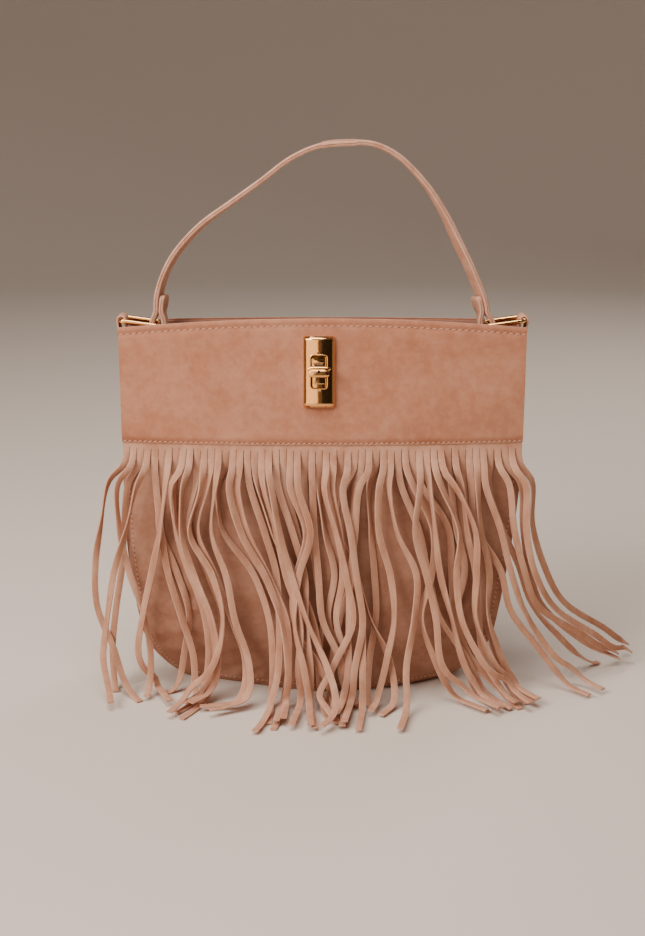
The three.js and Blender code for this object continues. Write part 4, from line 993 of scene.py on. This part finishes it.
def loft_faces(rings, size, closed=False):
    """Faces through rings of points, with both ends capped or joined end to end."""
    faces = []
    for i in range(rings if closed else rings - 1):
        after = (i + 1) % rings
        for j in range(size):
            k = (j + 1) % size
            faces.append((i * size + j, i * size + k, after * size + k, after * size + j))
    if not closed:
        faces.append(tuple(range(size - 1, -1, -1)))
        faces.append(tuple((rings - 1) * size + j for j in range(size)))
    return faces


def lining():
    def ring(z, inwards):
        source = max(z - LINING_LIFT, 0)
        half = half_width(source) - GUSSET_THICKNESS - LINING_GAP - inwards
        points = []
        for side in (-1, 1):
            for j in range(LINING_COLUMNS + 1):
                u = (2 * j / LINING_COLUMNS - 1) * -side
                deep = min(tucked_depth(u, source), tucked_depth(u, z)) - 2 * PANEL_THICKNESS
                slack = LINING_SLACK + LINING_WAVE * wave(u * half, z, LINING_WAVE_SPAN, 91 + side)
                slack *= smooth((1 - abs(u)) * 5)
                slack *= smooth((LINING_RIM - z) / 30) * smooth(z / 20)
                points.append((shift(source) + u * half, side * (deep - LINING_GAP - inwards - slack), z))
        return points

    heights = [z + LINING_LIFT for z in lower_heights() if z + LINING_LIFT < SEAM_HEIGHT] + [LINING_RIM]
    rings = [ring(z, 0) for z in heights]
    inner = [ring(z + (LINING_THICKNESS if i == 0 else 0), LINING_THICKNESS) for i, z in enumerate(heights)]
    rings += inner[::-1]
    points = [point for one in rings for point in one]
    piece = mesh_object("lining_pouch", points, loft_faces(len(rings), len(rings[0])), "bag", LINING_CLOTH)
    sharpen(piece, 60)
    return piece


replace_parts(lining(), "lining")


def base_board():
    half = half_width(0) - BOARD_MARGIN
    steps = range(BOARD_COLUMNS + 1)
    outline = [(2 * j / BOARD_COLUMNS - 1, side) for side in (-1, 1) for j in steps]
    rings = []
    low, high = BOARD_BOTTOM + BOARD_BEVEL / 2, BOARD_TOP - BOARD_BEVEL / 2
    for inset, z in ((BOARD_BEVEL, BOARD_BOTTOM), (0, low), (0, high), (BOARD_BEVEL, BOARD_TOP)):
        ring = []
        for u, side in outline:
            u *= -side
            deep = tucked_depth(u, 0) - PANEL_THICKNESS - LINING_GAP - BOARD_MARGIN - inset
            ring.append((shift(0) + u * (half - inset), side * deep, z))
        rings.append(ring)
    points = [point for one in rings for point in one]
    piece = mesh_object("base_board_sheet", points, loft_faces(4, len(rings[0])), "bag", BOARD)
    sharpen(piece)
    return piece


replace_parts(base_board(), "base_board")


def finish_solids(names, material):
    """Give solids that keep their mesh a better material."""
    for name in names:
        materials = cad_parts[name].data.materials
        materials.clear()
        materials.append(material)


finish_solids(("front_stiffener", "back_stiffener"), BOARD)


# Tabs. Each is a loop of suede over a ring's outer bar, sewn through the gusset's end between
# its two legs.
WIRE_RADIUS = 1.6
TAB_WIDTH = 12
TAB_THICKNESS = 1.4
TAB_LEG = 29
TAB_GAP = 0.35
TAB_EDGE = 0.4
TAB_EDGE_FACES = (0, 3, 4, 5, 8, 9)
TAB_STITCH_PITCH = 2.6
TAB_STITCH_SPAN = 3.8
TAB_STITCH_HEIGHTS = (240.5, 229.5)
RING_RISE = 9.2
RING_PIVOT_X = half_width(GUSSET_TOP) - GUSSET_THICKNESS / 2
RING_PIVOT_Z = GUSSET_TOP + RING_RISE
HANDLE_SUEDE = suede("suede_handle", "#C08B72", "#D1A28A", "#AA745B", 14)


def loop_points(radius, leg_offset, neck, leg):
    """A loop round a bar at the origin with two legs going up, in the x-z plane."""
    angles = [math.radians(a) for a in (-20, -55, -90, -125, -160)]
    arc = [(radius * math.cos(a), radius * math.sin(a)) for a in angles]
    side = mix(radius, leg_offset, 0.35), 0.42 * neck
    down = [(leg_offset, leg), (leg_offset, mix(neck, leg, 0.4)), (leg_offset, neck), side]
    return down + arc + [(-x, z) for x, z in reversed(down)]


def turned(points, degrees, x, z):
    c, s = math.cos(math.radians(degrees)), math.sin(math.radians(degrees))
    return [Vector((x + a * c + b * s, 0, z - a * s + b * c)) for a, b in points]


def swept(line, ways, section, twists=None):
    """Rings of a section along a line in the x-z plane. A section point is out from and across it."""
    rings = []
    for i, (centre, along) in enumerate(zip(line, ways)):
        face, across = Vector((along.z, 0, -along.x)).normalized(), Vector((0, 1, 0))
        turn = twists[i] if twists else 0
        out = face * math.cos(turn) + across * math.sin(turn)
        wide = across * math.cos(turn) - face * math.sin(turn)
        rings.append([centre + out * a + wide * b for a, b in section])
    return rings


def tab(name, side):
    leg_offset = GUSSET_THICKNESS / 2 + TAB_GAP + TAB_THICKNESS / 2
    radius = WIRE_RADIUS + TAB_GAP + TAB_THICKNESS / 2
    neck = RING_RISE - 2 * TAB_GAP - TAB_THICKNESS
    hanging = [(x, -z) for x, z in loop_points(radius, leg_offset, neck, TAB_LEG)]
    line, ways = smooth_line(turned(hanging, 0, side * RING_PIVOT_X, RING_PIVOT_Z), 90)
    t, w = TAB_THICKNESS / 2, TAB_WIDTH / 2
    section = [(t * 0.6, -w), (t, TAB_EDGE - w), (t * 1.1, 0), (t, w - TAB_EDGE), (t * 0.6, w)]
    section += [(-a, b) for a, b in reversed(section)]
    rings = swept(line, ways, section)
    points = [point for ring in rings for point in ring]
    faces = loft_faces(len(rings), len(section))
    cut_edge_highlight_faces = [i for i in range(len(faces) - 2) if i % len(section) in TAB_EDGE_FACES]
    piece = mesh_object(name, points, faces, "bag", HANDLE_SUEDE, cut_edge_highlight_faces + [len(faces) - 2, len(faces) - 1])
    sharpen(piece)
    x = side * (RING_PIVOT_X + leg_offset + t)
    out = Vector((side, 0, 0))
    across = (-TAB_STITCH_SPAN, 0, TAB_STITCH_SPAN)
    rows = [[(Vector((x, y, z)), out) for y in across] for z in TAB_STITCH_HEIGHTS]
    stitches(name + "_stitches", rows, TAB_STITCH_PITCH, 9)
    return piece


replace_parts(tab("left_tab_suede", -1), "left_tab")
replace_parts(tab("right_tab_suede", 1), "right_tab")


# Rings. Each is a long loop of drawn brass wire with rounded corners, joined and gold plated. Its
# outer bar lies in a tab, and the handle goes round its inner bar.
RING_LENGTH = 25
RING_WIDTH = 17
RING_CORNER = 2.3
RING_REST_TILT = math.radians(8)
WIRE_SIDES = 16
CORNER_STEPS = 8


def polished_gold():
    """Polished brass with thin pale gold plating. Faint wear makes its gloss a little uneven."""
    material, tree, shader = start_material("gold_metal")
    place = node(tree, "ShaderNodeTexCoord").outputs["Object"]
    inputs = {"Vector": place, "Scale": 1 / (3.0 * MM), "Detail": 5.0, "Roughness": 0.7}
    wear = node(tree, "ShaderNodeTexNoise", inputs).outputs["Fac"]
    inputs = {"Factor": wear, "A": linear("#FBC98A"), "B": linear("#F0B26E")}
    colour = node(tree, "ShaderNodeMix", inputs, data_type="RGBA").outputs["Result"]
    tree.links.new(colour, shader.inputs["Base Color"])
    inputs = {"Value": wear, "From Min": 0.3, "From Max": 0.7, "To Min": 0.07, "To Max": 0.16}
    tree.links.new(node(tree, "ShaderNodeMapRange", inputs).outputs["Result"], shader.inputs["Roughness"])
    shader.inputs["Metallic"].default_value = 1
    return material


GOLD = polished_gold()


def ring(name, side, body):
    half, tilt = RING_WIDTH / 2, RING_REST_TILT
    inner_x, outer_x = RING_CORNER, RING_LENGTH - RING_CORNER
    centres = [(outer_x, half - RING_CORNER, 0), (inner_x, half - RING_CORNER, 1)]
    centres += [(inner_x, RING_CORNER - half, 2), (outer_x, RING_CORNER - half, 3)]
    rings = []
    for x, y, quarter in centres:
        for i in range(CORNER_STEPS + 1):
            a = math.pi / 2 * (i / CORNER_STEPS + quarter)
            section = []
            for j in range(WIRE_SIDES):
                b = 2 * math.pi * j / WIRE_SIDES
                reach = RING_CORNER + WIRE_RADIUS * math.cos(b)
                along, up = x + math.cos(a) * reach, WIRE_RADIUS * math.sin(b)
                level = along * math.cos(tilt) + up * math.sin(tilt)
                rise = up * math.cos(tilt) - along * math.sin(tilt)
                deep = y + math.sin(a) * reach
                section.append((side * (RING_PIVOT_X - level), deep, RING_PIVOT_Z + rise))
            rings.append(section)
    points = [point for one in rings for point in one]
    piece = mesh_object(name, points, loft_faces(len(rings), WIRE_SIDES, True), body, GOLD)
    return piece


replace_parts(ring("left_ring_wire", -1, "left_link"), "left_ring")
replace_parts(ring("right_ring_wire", 1, "right_link"), "right_ring")


# Handle. One strap of suede, folded to two plies with a groove between them along both edges. Its
# ends go round the rings and stand free inside the legs, and the legs twist a little.
STRAP_THICKNESS = 3.4
STRAP_HALF_SECTION = ((1.72, 0), (1.68, 5.1), (1.3, 5.72), (0.4, 5.8), (0, 5.15))
STRAP_EDGE_FACES = (1, 2, 3, 4, 5, 6, 9, 10, 11, 12, 13, 14)
STRAP_STEPS = 340
EYE_RADIUS = 2.8
EYE_OFFSET = 0.5
EYE_NECK = 8.5
TAIL_LENGTH = 20
LEFT_TILT = 8
RIGHT_TILT = 18
HANDLE_RISE = 118.4
BAR_X = RING_PIVOT_X - RING_LENGTH * math.cos(RING_REST_TILT)
BAR_Z = RING_PIVOT_Z - RING_LENGTH * math.sin(RING_REST_TILT)
HANDLE_ARCH = (
    (-0.956, 0.281), (-0.881, 0.402), (-0.73, 0.553), (-0.543, 0.679), (-0.367, 0.795), (-0.185, 0.918),
    (-0.016, 0.984), (0.136, 1), (0.304, 0.992), (0.446, 0.93), (0.603, 0.79), (0.724, 0.625),
    (0.812, 0.465), (0.891, 0.32),
)
LEFT_TWIST = -12
RIGHT_TWIST = 22
TWIST_START = 3
TWIST_RUN = 11
UNTWIST_START = 45
UNTWIST_RUN = 60


def handle():
    offset = (STRAP_THICKNESS + GAP) / 2
    loop = loop_points(EYE_RADIUS + STRAP_THICKNESS / 2, offset, EYE_NECK, TAIL_LENGTH)
    places = turned(loop, LEFT_TILT, -BAR_X - EYE_OFFSET, BAR_Z)
    places += [Vector((x * BAR_X, 0, BAR_Z + z * HANDLE_RISE)) for x, z in HANDLE_ARCH]
    places += turned(loop, -RIGHT_TILT, BAR_X + EYE_OFFSET, BAR_Z)
    line, ways = smooth_line(places, STRAP_STEPS)
    twists = []
    for point, way in zip(line, ways):
        leg = LEFT_TWIST if point.x < 0 else RIGHT_TWIST
        rise = point.z - BAR_Z
        share = smooth((rise - TWIST_START) / TWIST_RUN)
        share *= 1 - 0.8 * smooth((rise - UNTWIST_START) / UNTWIST_RUN)
        twists.append(math.copysign(math.radians(leg), leg * way.z) * share)
    section = [*STRAP_HALF_SECTION, *((-a, b) for a, b in STRAP_HALF_SECTION[-2::-1])]
    section += [(-a, -b) for a, b in section[1:8]]
    rings = swept(line, ways, section, twists)
    for i, share in ((0, 0.72), (1, 0.93), (-2, 0.93), (-1, 0.72)):
        middle = line[i]
        rings[i] = [mix(middle, point, share) for point in rings[i]]
    points = [point for ring in rings for point in ring]
    size = len(section)
    faces = loft_faces(len(rings), size)
    cut_edge_highlight_faces = [i for i in range(len(faces) - 2) if i % size in STRAP_EDGE_FACES]
    piece = mesh_object("handle_strap_suede", points, faces, "handle", HANDLE_SUEDE, cut_edge_highlight_faces)
    sharpen(piece, 60)
    return piece


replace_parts(handle(), "handle_strap")


# Turn lock. A cast and polished cover with a raised window, held by prongs that fold over a
# plate behind the band. A block in the window carries the turning knob on a pin.
LOCK_LEAN = math.atan2(BAND_MID_AT_SEAM - BAND_MID_AT_TOP, CORNER_HEIGHT - SEAM_HEIGHT)
PLATE_WIDTH = 20.6
PLATE_LENGTH = 46.5
PLATE_SIDE = 1.8
PLATE_CROWN = 5.6
PLATE_BEVEL = 1.7
PLATE_BEVEL_DROP = 1.5
PLATE_WALL = 1
PLATE_CORNER = 1.1
WINDOW_WIDTH = 10.4
WINDOW_LENGTH = 21
WINDOW_CORNER = 1.6
LIP_WIDTH = 0.9
LIP_TOP = 6
SLAB_WIDTH = 17
SLAB_LENGTH = 41
SLAB_BOTTOM = 0.4
SLAB_TOP = 1
BLOCK_WIDTH = 7.6
BLOCK_LENGTH = 12.6
BLOCK_TOP = 5.2
BLOCK_MIDDLE = -1.9
STUB_LENGTH = 2.6
STUB_TOP = 4.6
STUB_MIDDLE = 6.9
BLOCK_SINK = 0.1
KNOB_BOTTOM = 6.4
KNOB_TOP = 12.5
WING_LENGTH = 16
WING_WIDTH = 3.2
WING_THICKNESS = 2.7
WING_MIDDLE = 1.9
GRIP_LENGTH = 13.2
GRIP_WIDTH = 5.0
GRIP_SINK = 0.4
GRIP_MIDDLE = -1.1
PIN_RADIUS = 1.9
PIN_END_RADIUS = 1
PIN_BOTTOM = 1.9
PIN_SHOULDER = 6.1
CORNER_POINTS = 7
SHORT_SIDE_STEPS = 10
LONG_SIDE_STEPS = 20
BAR_SIDES = 24
PIN_SIDES = 28


def in_lock_frame(point):
    """From the lock's own frame, x across, y up along the band and z out of it, to the model's."""
    x, y, z = point
    c, s = math.cos(LOCK_LEAN), math.sin(LOCK_LEAN)
    return Vector((LOCK_X + x, y * s - z * c - band_depth(0, LOCK_HEIGHT), LOCK_HEIGHT + y * c + z * s))


def rounded(width, length, radius, inset=0.0):
    """Points round a rectangle with rounded corners, the same number for every size."""
    x, y, r = width / 2 - inset, length / 2 - inset, max(radius - inset, 0.15)
    points = []
    for cx, cy, quarter in ((x - r, y - r, 0), (r - x, y - r, 1), (r - x, r - y, 2), (x - r, r - y, 3)):
        corner = [math.pi / 2 * (quarter + i / (CORNER_POINTS - 1)) for i in range(CORNER_POINTS)]
        points += [(cx + r * math.cos(a), cy + r * math.sin(a)) for a in corner]
    filled = []
    for i, (a, b) in enumerate(zip(points, points[1:] + points[:1])):
        side_steps = LONG_SIDE_STEPS if i // CORNER_POINTS % 2 else SHORT_SIDE_STEPS
        count = side_steps if (i + 1) % CORNER_POINTS == 0 else 1
        filled += [(mix(a[0], b[0], j / count), mix(a[1], b[1], j / count)) for j in range(count)]
    return filled


def lock_piece(name, stands_for, shells, material, body="bag", closed=False, angle=35):
    """One lock piece from one or more shells, each a list of rings in the lock's frame."""
    points, faces = [], []
    for rings in shells:
        size, first = len(rings[0]), len(points)
        points += [in_lock_frame(point) for one in rings for point in one]
        faces += [tuple(first + i for i in face) for face in loft_faces(len(rings), size, closed)]
    piece = mesh_object(name, points, faces, body, material)
    sharpen(piece, angle)
    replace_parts(piece, stands_for)


def cover_height(x, y):
    """Height of the cover's outer face, which is arched across and bevelled at both ends."""
    end = clamp((abs(y) - PLATE_LENGTH / 2 + PLATE_BEVEL) / PLATE_BEVEL)
    arch = (PLATE_CROWN - PLATE_SIDE) * math.sqrt(max(1 - (x / (PLATE_WIDTH / 2)) ** 2, 0))
    return max(PLATE_SIDE + arch - PLATE_BEVEL_DROP * end, GAP + 0.1)


def cover_rings():
    """The cover's wall, from the window's lip out to the foot and back along its inner face."""
    window = WINDOW_WIDTH, WINDOW_LENGTH, WINDOW_CORNER
    outside = rounded(PLATE_WIDTH, PLATE_LENGTH, PLATE_CORNER)
    foot = rounded(*window, -LIP_WIDTH - 0.1)
    bottom = PLATE_CROWN - 3
    rings = [[(x, y, z) for x, y in rounded(*window, -out)] for out, z in (
        (0, bottom), (0, LIP_TOP - 0.3), (0.12, LIP_TOP - 0.08), (0.35, LIP_TOP), (0.6, LIP_TOP),
        (0.82, LIP_TOP - 0.1), (LIP_WIDTH, LIP_TOP - 0.35),
    )]
    shares = [0.0, 0.25, 0.5, 0.7, 0.84, 0.87, 0.92, 0.965, 0.99, 1.0]
    surface = [[(mix(a[0], b[0], t), mix(a[1], b[1], t)) for a, b in zip(foot, outside)] for t in shares]
    rings += [[(x, y, cover_height(x, y)) for x, y in one] for one in surface]
    rings.append([(x, y, GAP) for x, y in outside])
    inside = rounded(PLATE_WIDTH, PLATE_LENGTH, PLATE_CORNER, PLATE_WALL)
    rings.append([(x, y, GAP) for x, y in inside])
    for t in (1.0, 0.6, 0.2):
        under = [(mix(a[0], b[0], t), mix(a[1], b[1], t)) for a, b in zip(foot, inside)]
        rings.append([(x, y, max(min(cover_height(x, y) - PLATE_WALL, bottom), GAP)) for x, y in under])
    return rings


def slab_rings(width, length, corner, bottom, top, soft, middle=0.0):
    """A flat block with softened edges."""
    levels = ((soft * 0.5, bottom), (0, bottom + soft * 0.5), (0, top - soft))
    levels += ((soft * 0.3, top - soft * 0.3), (soft, top))
    return [[(x, y + middle, z) for x, y in rounded(width, length, corner, inset)] for inset, z in levels]


def bar_rings(length, width, middle, bottom, top, ends, power):
    """A bar along x through rounded sections, from places and their shares of the full size."""
    rings = []
    for place, share in ends:
        section = []
        for i in range(BAR_SIDES):
            a = 2 * math.pi * i / BAR_SIDES
            c, s = math.cos(a), math.sin(a)
            y = math.copysign(abs(c) ** power, c) * width / 2 * share
            z = math.copysign(abs(s) ** power, s) * (top - bottom) / 2 * mix(1, share, 0.55)
            section.append((place * length / 2, middle + y, (top + bottom) / 2 + z))
        rings.append(section)
    return rings


def round_rings(levels):
    """A turned piece, from its radii and heights."""
    turns = [2 * math.pi * i / PIN_SIDES for i in range(PIN_SIDES)]
    return [[(r * math.cos(a), r * math.sin(a), z) for a in turns] for r, z in levels]


def painted_shade_steel():
    """Near-black steel, worn to a dull gloss. The pin's end comes up level with the knob's top, and its
    dark dot is painted shade for a recess that is not modelled.
    """
    material, tree, shader = start_material("pin_end_painted_shade")
    place = node(tree, "ShaderNodeTexCoord").outputs["Object"]
    inputs = {"Vector": place, "Scale": 1 / (0.8 * MM), "Detail": 4.0}
    wear = node(tree, "ShaderNodeTexNoise", inputs).outputs["Fac"]
    inputs = {"Factor": wear, "A": linear("#2A211C"), "B": linear("#4A3C33")}
    colour = node(tree, "ShaderNodeMix", inputs, data_type="RGBA").outputs["Result"]
    tree.links.new(colour, shader.inputs["Base Color"])
    shader.inputs["Roughness"].default_value = 0.45
    shader.inputs["Metallic"].default_value = 1
    return material


def plain_steel():
    """Rolled steel sheet, bright and faintly scratched. It shows only when the lock is taken apart."""
    material, tree, shader = start_material("steel")
    place = node(tree, "ShaderNodeTexCoord").outputs["Object"]
    inputs = {"Vector": place, "Scale": 1 / (0.8 * MM), "Detail": 4.0}
    marks = node(tree, "ShaderNodeTexNoise", inputs).outputs["Fac"]
    inputs = {"Factor": marks, "A": linear("#8E8E8C"), "B": linear("#B4B3B0")}
    colour = node(tree, "ShaderNodeMix", inputs, data_type="RGBA").outputs["Result"]
    tree.links.new(colour, shader.inputs["Base Color"])
    inputs = {"Value": marks, "To Min": 0.3, "To Max": 0.5}
    tree.links.new(node(tree, "ShaderNodeMapRange", inputs).outputs["Result"], shader.inputs["Roughness"])
    shader.inputs["Metallic"].default_value = 1
    return material


lock_piece("lock_cover", "lock_plate", [cover_rings()], GOLD, closed=True)
lock_piece("lock_block", "lock_base", [
    slab_rings(SLAB_WIDTH, SLAB_LENGTH, 1, SLAB_BOTTOM, SLAB_TOP, 0.2),
    slab_rings(BLOCK_WIDTH, BLOCK_LENGTH, 1, SLAB_TOP - BLOCK_SINK, BLOCK_TOP, 0.45, BLOCK_MIDDLE),
    slab_rings(BLOCK_WIDTH, STUB_LENGTH, 0.8, SLAB_TOP - BLOCK_SINK, STUB_TOP, 0.4, STUB_MIDDLE),
], GOLD)
lock_piece("lock_turning_knob", "lock_knob", [
    bar_rings(WING_LENGTH, WING_WIDTH, WING_MIDDLE, KNOB_BOTTOM, KNOB_BOTTOM + WING_THICKNESS, (
        (-1, 0.12), (-0.97, 0.34), (-0.9, 0.62), (-0.78, 0.88), (-0.6, 1),
        (0.6, 1), (0.78, 0.88), (0.9, 0.62), (0.97, 0.34), (1, 0.12),
    ), 0.9),
    bar_rings(GRIP_LENGTH, GRIP_WIDTH, GRIP_MIDDLE, KNOB_BOTTOM + WING_THICKNESS - GRIP_SINK, KNOB_TOP, (
        (-1, 0.62), (-0.985, 0.74), (-0.95, 0.8), (-0.7, 0.94), (-0.5, 1),
        (0.5, 1), (0.7, 0.94), (0.95, 0.8), (0.985, 0.74), (1, 0.62),
    ), 0.62),
], GOLD, body="knob", angle=40)
# The pin's dark end is painted shade for a recess in the knob's top.
lock_piece("lock_pin_turned", "lock_pin", [round_rings((
    (PIN_RADIUS + 0.1, PIN_BOTTOM), (PIN_RADIUS + 0.1, PIN_BOTTOM + 1.2), (PIN_RADIUS, PIN_BOTTOM + 1.3),
    (PIN_RADIUS, PIN_SHOULDER - 0.1), (PIN_END_RADIUS, PIN_SHOULDER), (PIN_END_RADIUS, KNOB_TOP + 0.06),
    (0.8, KNOB_TOP + 0.12), (0.5, KNOB_TOP),
))], painted_shade_steel(), body="knob")
finish_solids(("lock_spring", "lock_back_plate"), plain_steel())


# Stage: a plain pale floor that curves up all round, soft light from the left front and from
# above, and two cards that only the metal reflects, a bright one at the left and a dark one.
def make_backdrop():
    material, _, shader = start_material("backdrop")
    shader.inputs["Base Color"].default_value = linear("#DCCFC3")
    shader.inputs["Roughness"].default_value = 0.9
    flat, bend_radius, wall, around = 1.9, 1.5, 5.0, 72
    line = [(0.6, 0.0), (flat, 0.0)]
    for i in range(1, 25):
        a = math.pi / 2 * i / 24
        line.append((flat + bend_radius * math.sin(a), bend_radius * (1 - math.cos(a))))
    line.append((flat + bend_radius, wall))
    angles = [2 * math.pi * i / around for i in range(around)]
    points = [(r * math.cos(a), r * math.sin(a), z) for r, z in line for a in angles]
    faces = loft_faces(len(line), around)[:-1]
    mesh = bpy.data.meshes.new("backdrop")
    mesh.from_pydata(points, [], faces)
    mesh.materials.append(material)
    for face in mesh.polygons:
        face.use_smooth = True
    backdrop = bpy.data.objects.new("backdrop", mesh)
    bpy.context.collection.objects.link(backdrop)


def make_card(name, colour, glow, location, size):
    material, _, shader = start_material(name)
    shader.inputs["Base Color"].default_value = linear(colour)
    shader.inputs["Emission Color"].default_value = linear(colour)
    shader.inputs["Emission Strength"].default_value = glow
    shader.inputs["Roughness"].default_value = 1
    bpy.ops.mesh.primitive_plane_add(size=1, location=location)
    card = bpy.context.object
    card.name = name
    card.scale = (*size, 1)
    card.rotation_euler = (Vector((0, 0, 0.24)) - card.location).to_track_quat("Z", "Y").to_euler()
    card.data.materials.append(material)
    card.visible_camera = False
    card.visible_diffuse = False
    card.visible_shadow = False


def area_light(name, location, target, size, power, colour):
    data = bpy.data.lights.new(name, "AREA")
    data.shape = "RECTANGLE"
    data.size, data.size_y = size
    data.energy = power
    data.color = colour
    lamp = bpy.data.objects.new(name, data)
    lamp.location = location
    aim = Vector(target) - Vector(location)
    lamp.rotation_euler = aim.to_track_quat("-Z", "Y").to_euler()
    bpy.context.collection.objects.link(lamp)


def make_light():
    world = bpy.data.worlds.new("studio")
    world.use_nodes = True
    background = world.node_tree.nodes["Background"]
    background.inputs["Color"].default_value = linear("#E8DCD2")
    background.inputs["Strength"].default_value = 0.14
    bpy.context.scene.world = world
    area_light("window", (-0.95, -0.85, 1.05), (0, 0, 0.15), (0.9, 0.7), 25, (1.0, 0.94, 0.88))
    area_light("above", (-0.15, -0.3, 1.45), (0, 0, 0.1), (0.8, 0.6), 13, (1.0, 0.96, 0.92))
    area_light("behind", (0.8, 1.0, 1.1), (0, 0, 0.15), (0.6, 0.6), 7, (1.0, 0.96, 0.93))


make_backdrop()
make_card("dark_card", "#17110E", 0, (0.56, -0.82, 0.43), (1.0, 0.7))
make_card("bright_card", "#FFE3C4", 1.1, (-0.5, -0.88, 0.43), (0.98, 0.7))
make_light()
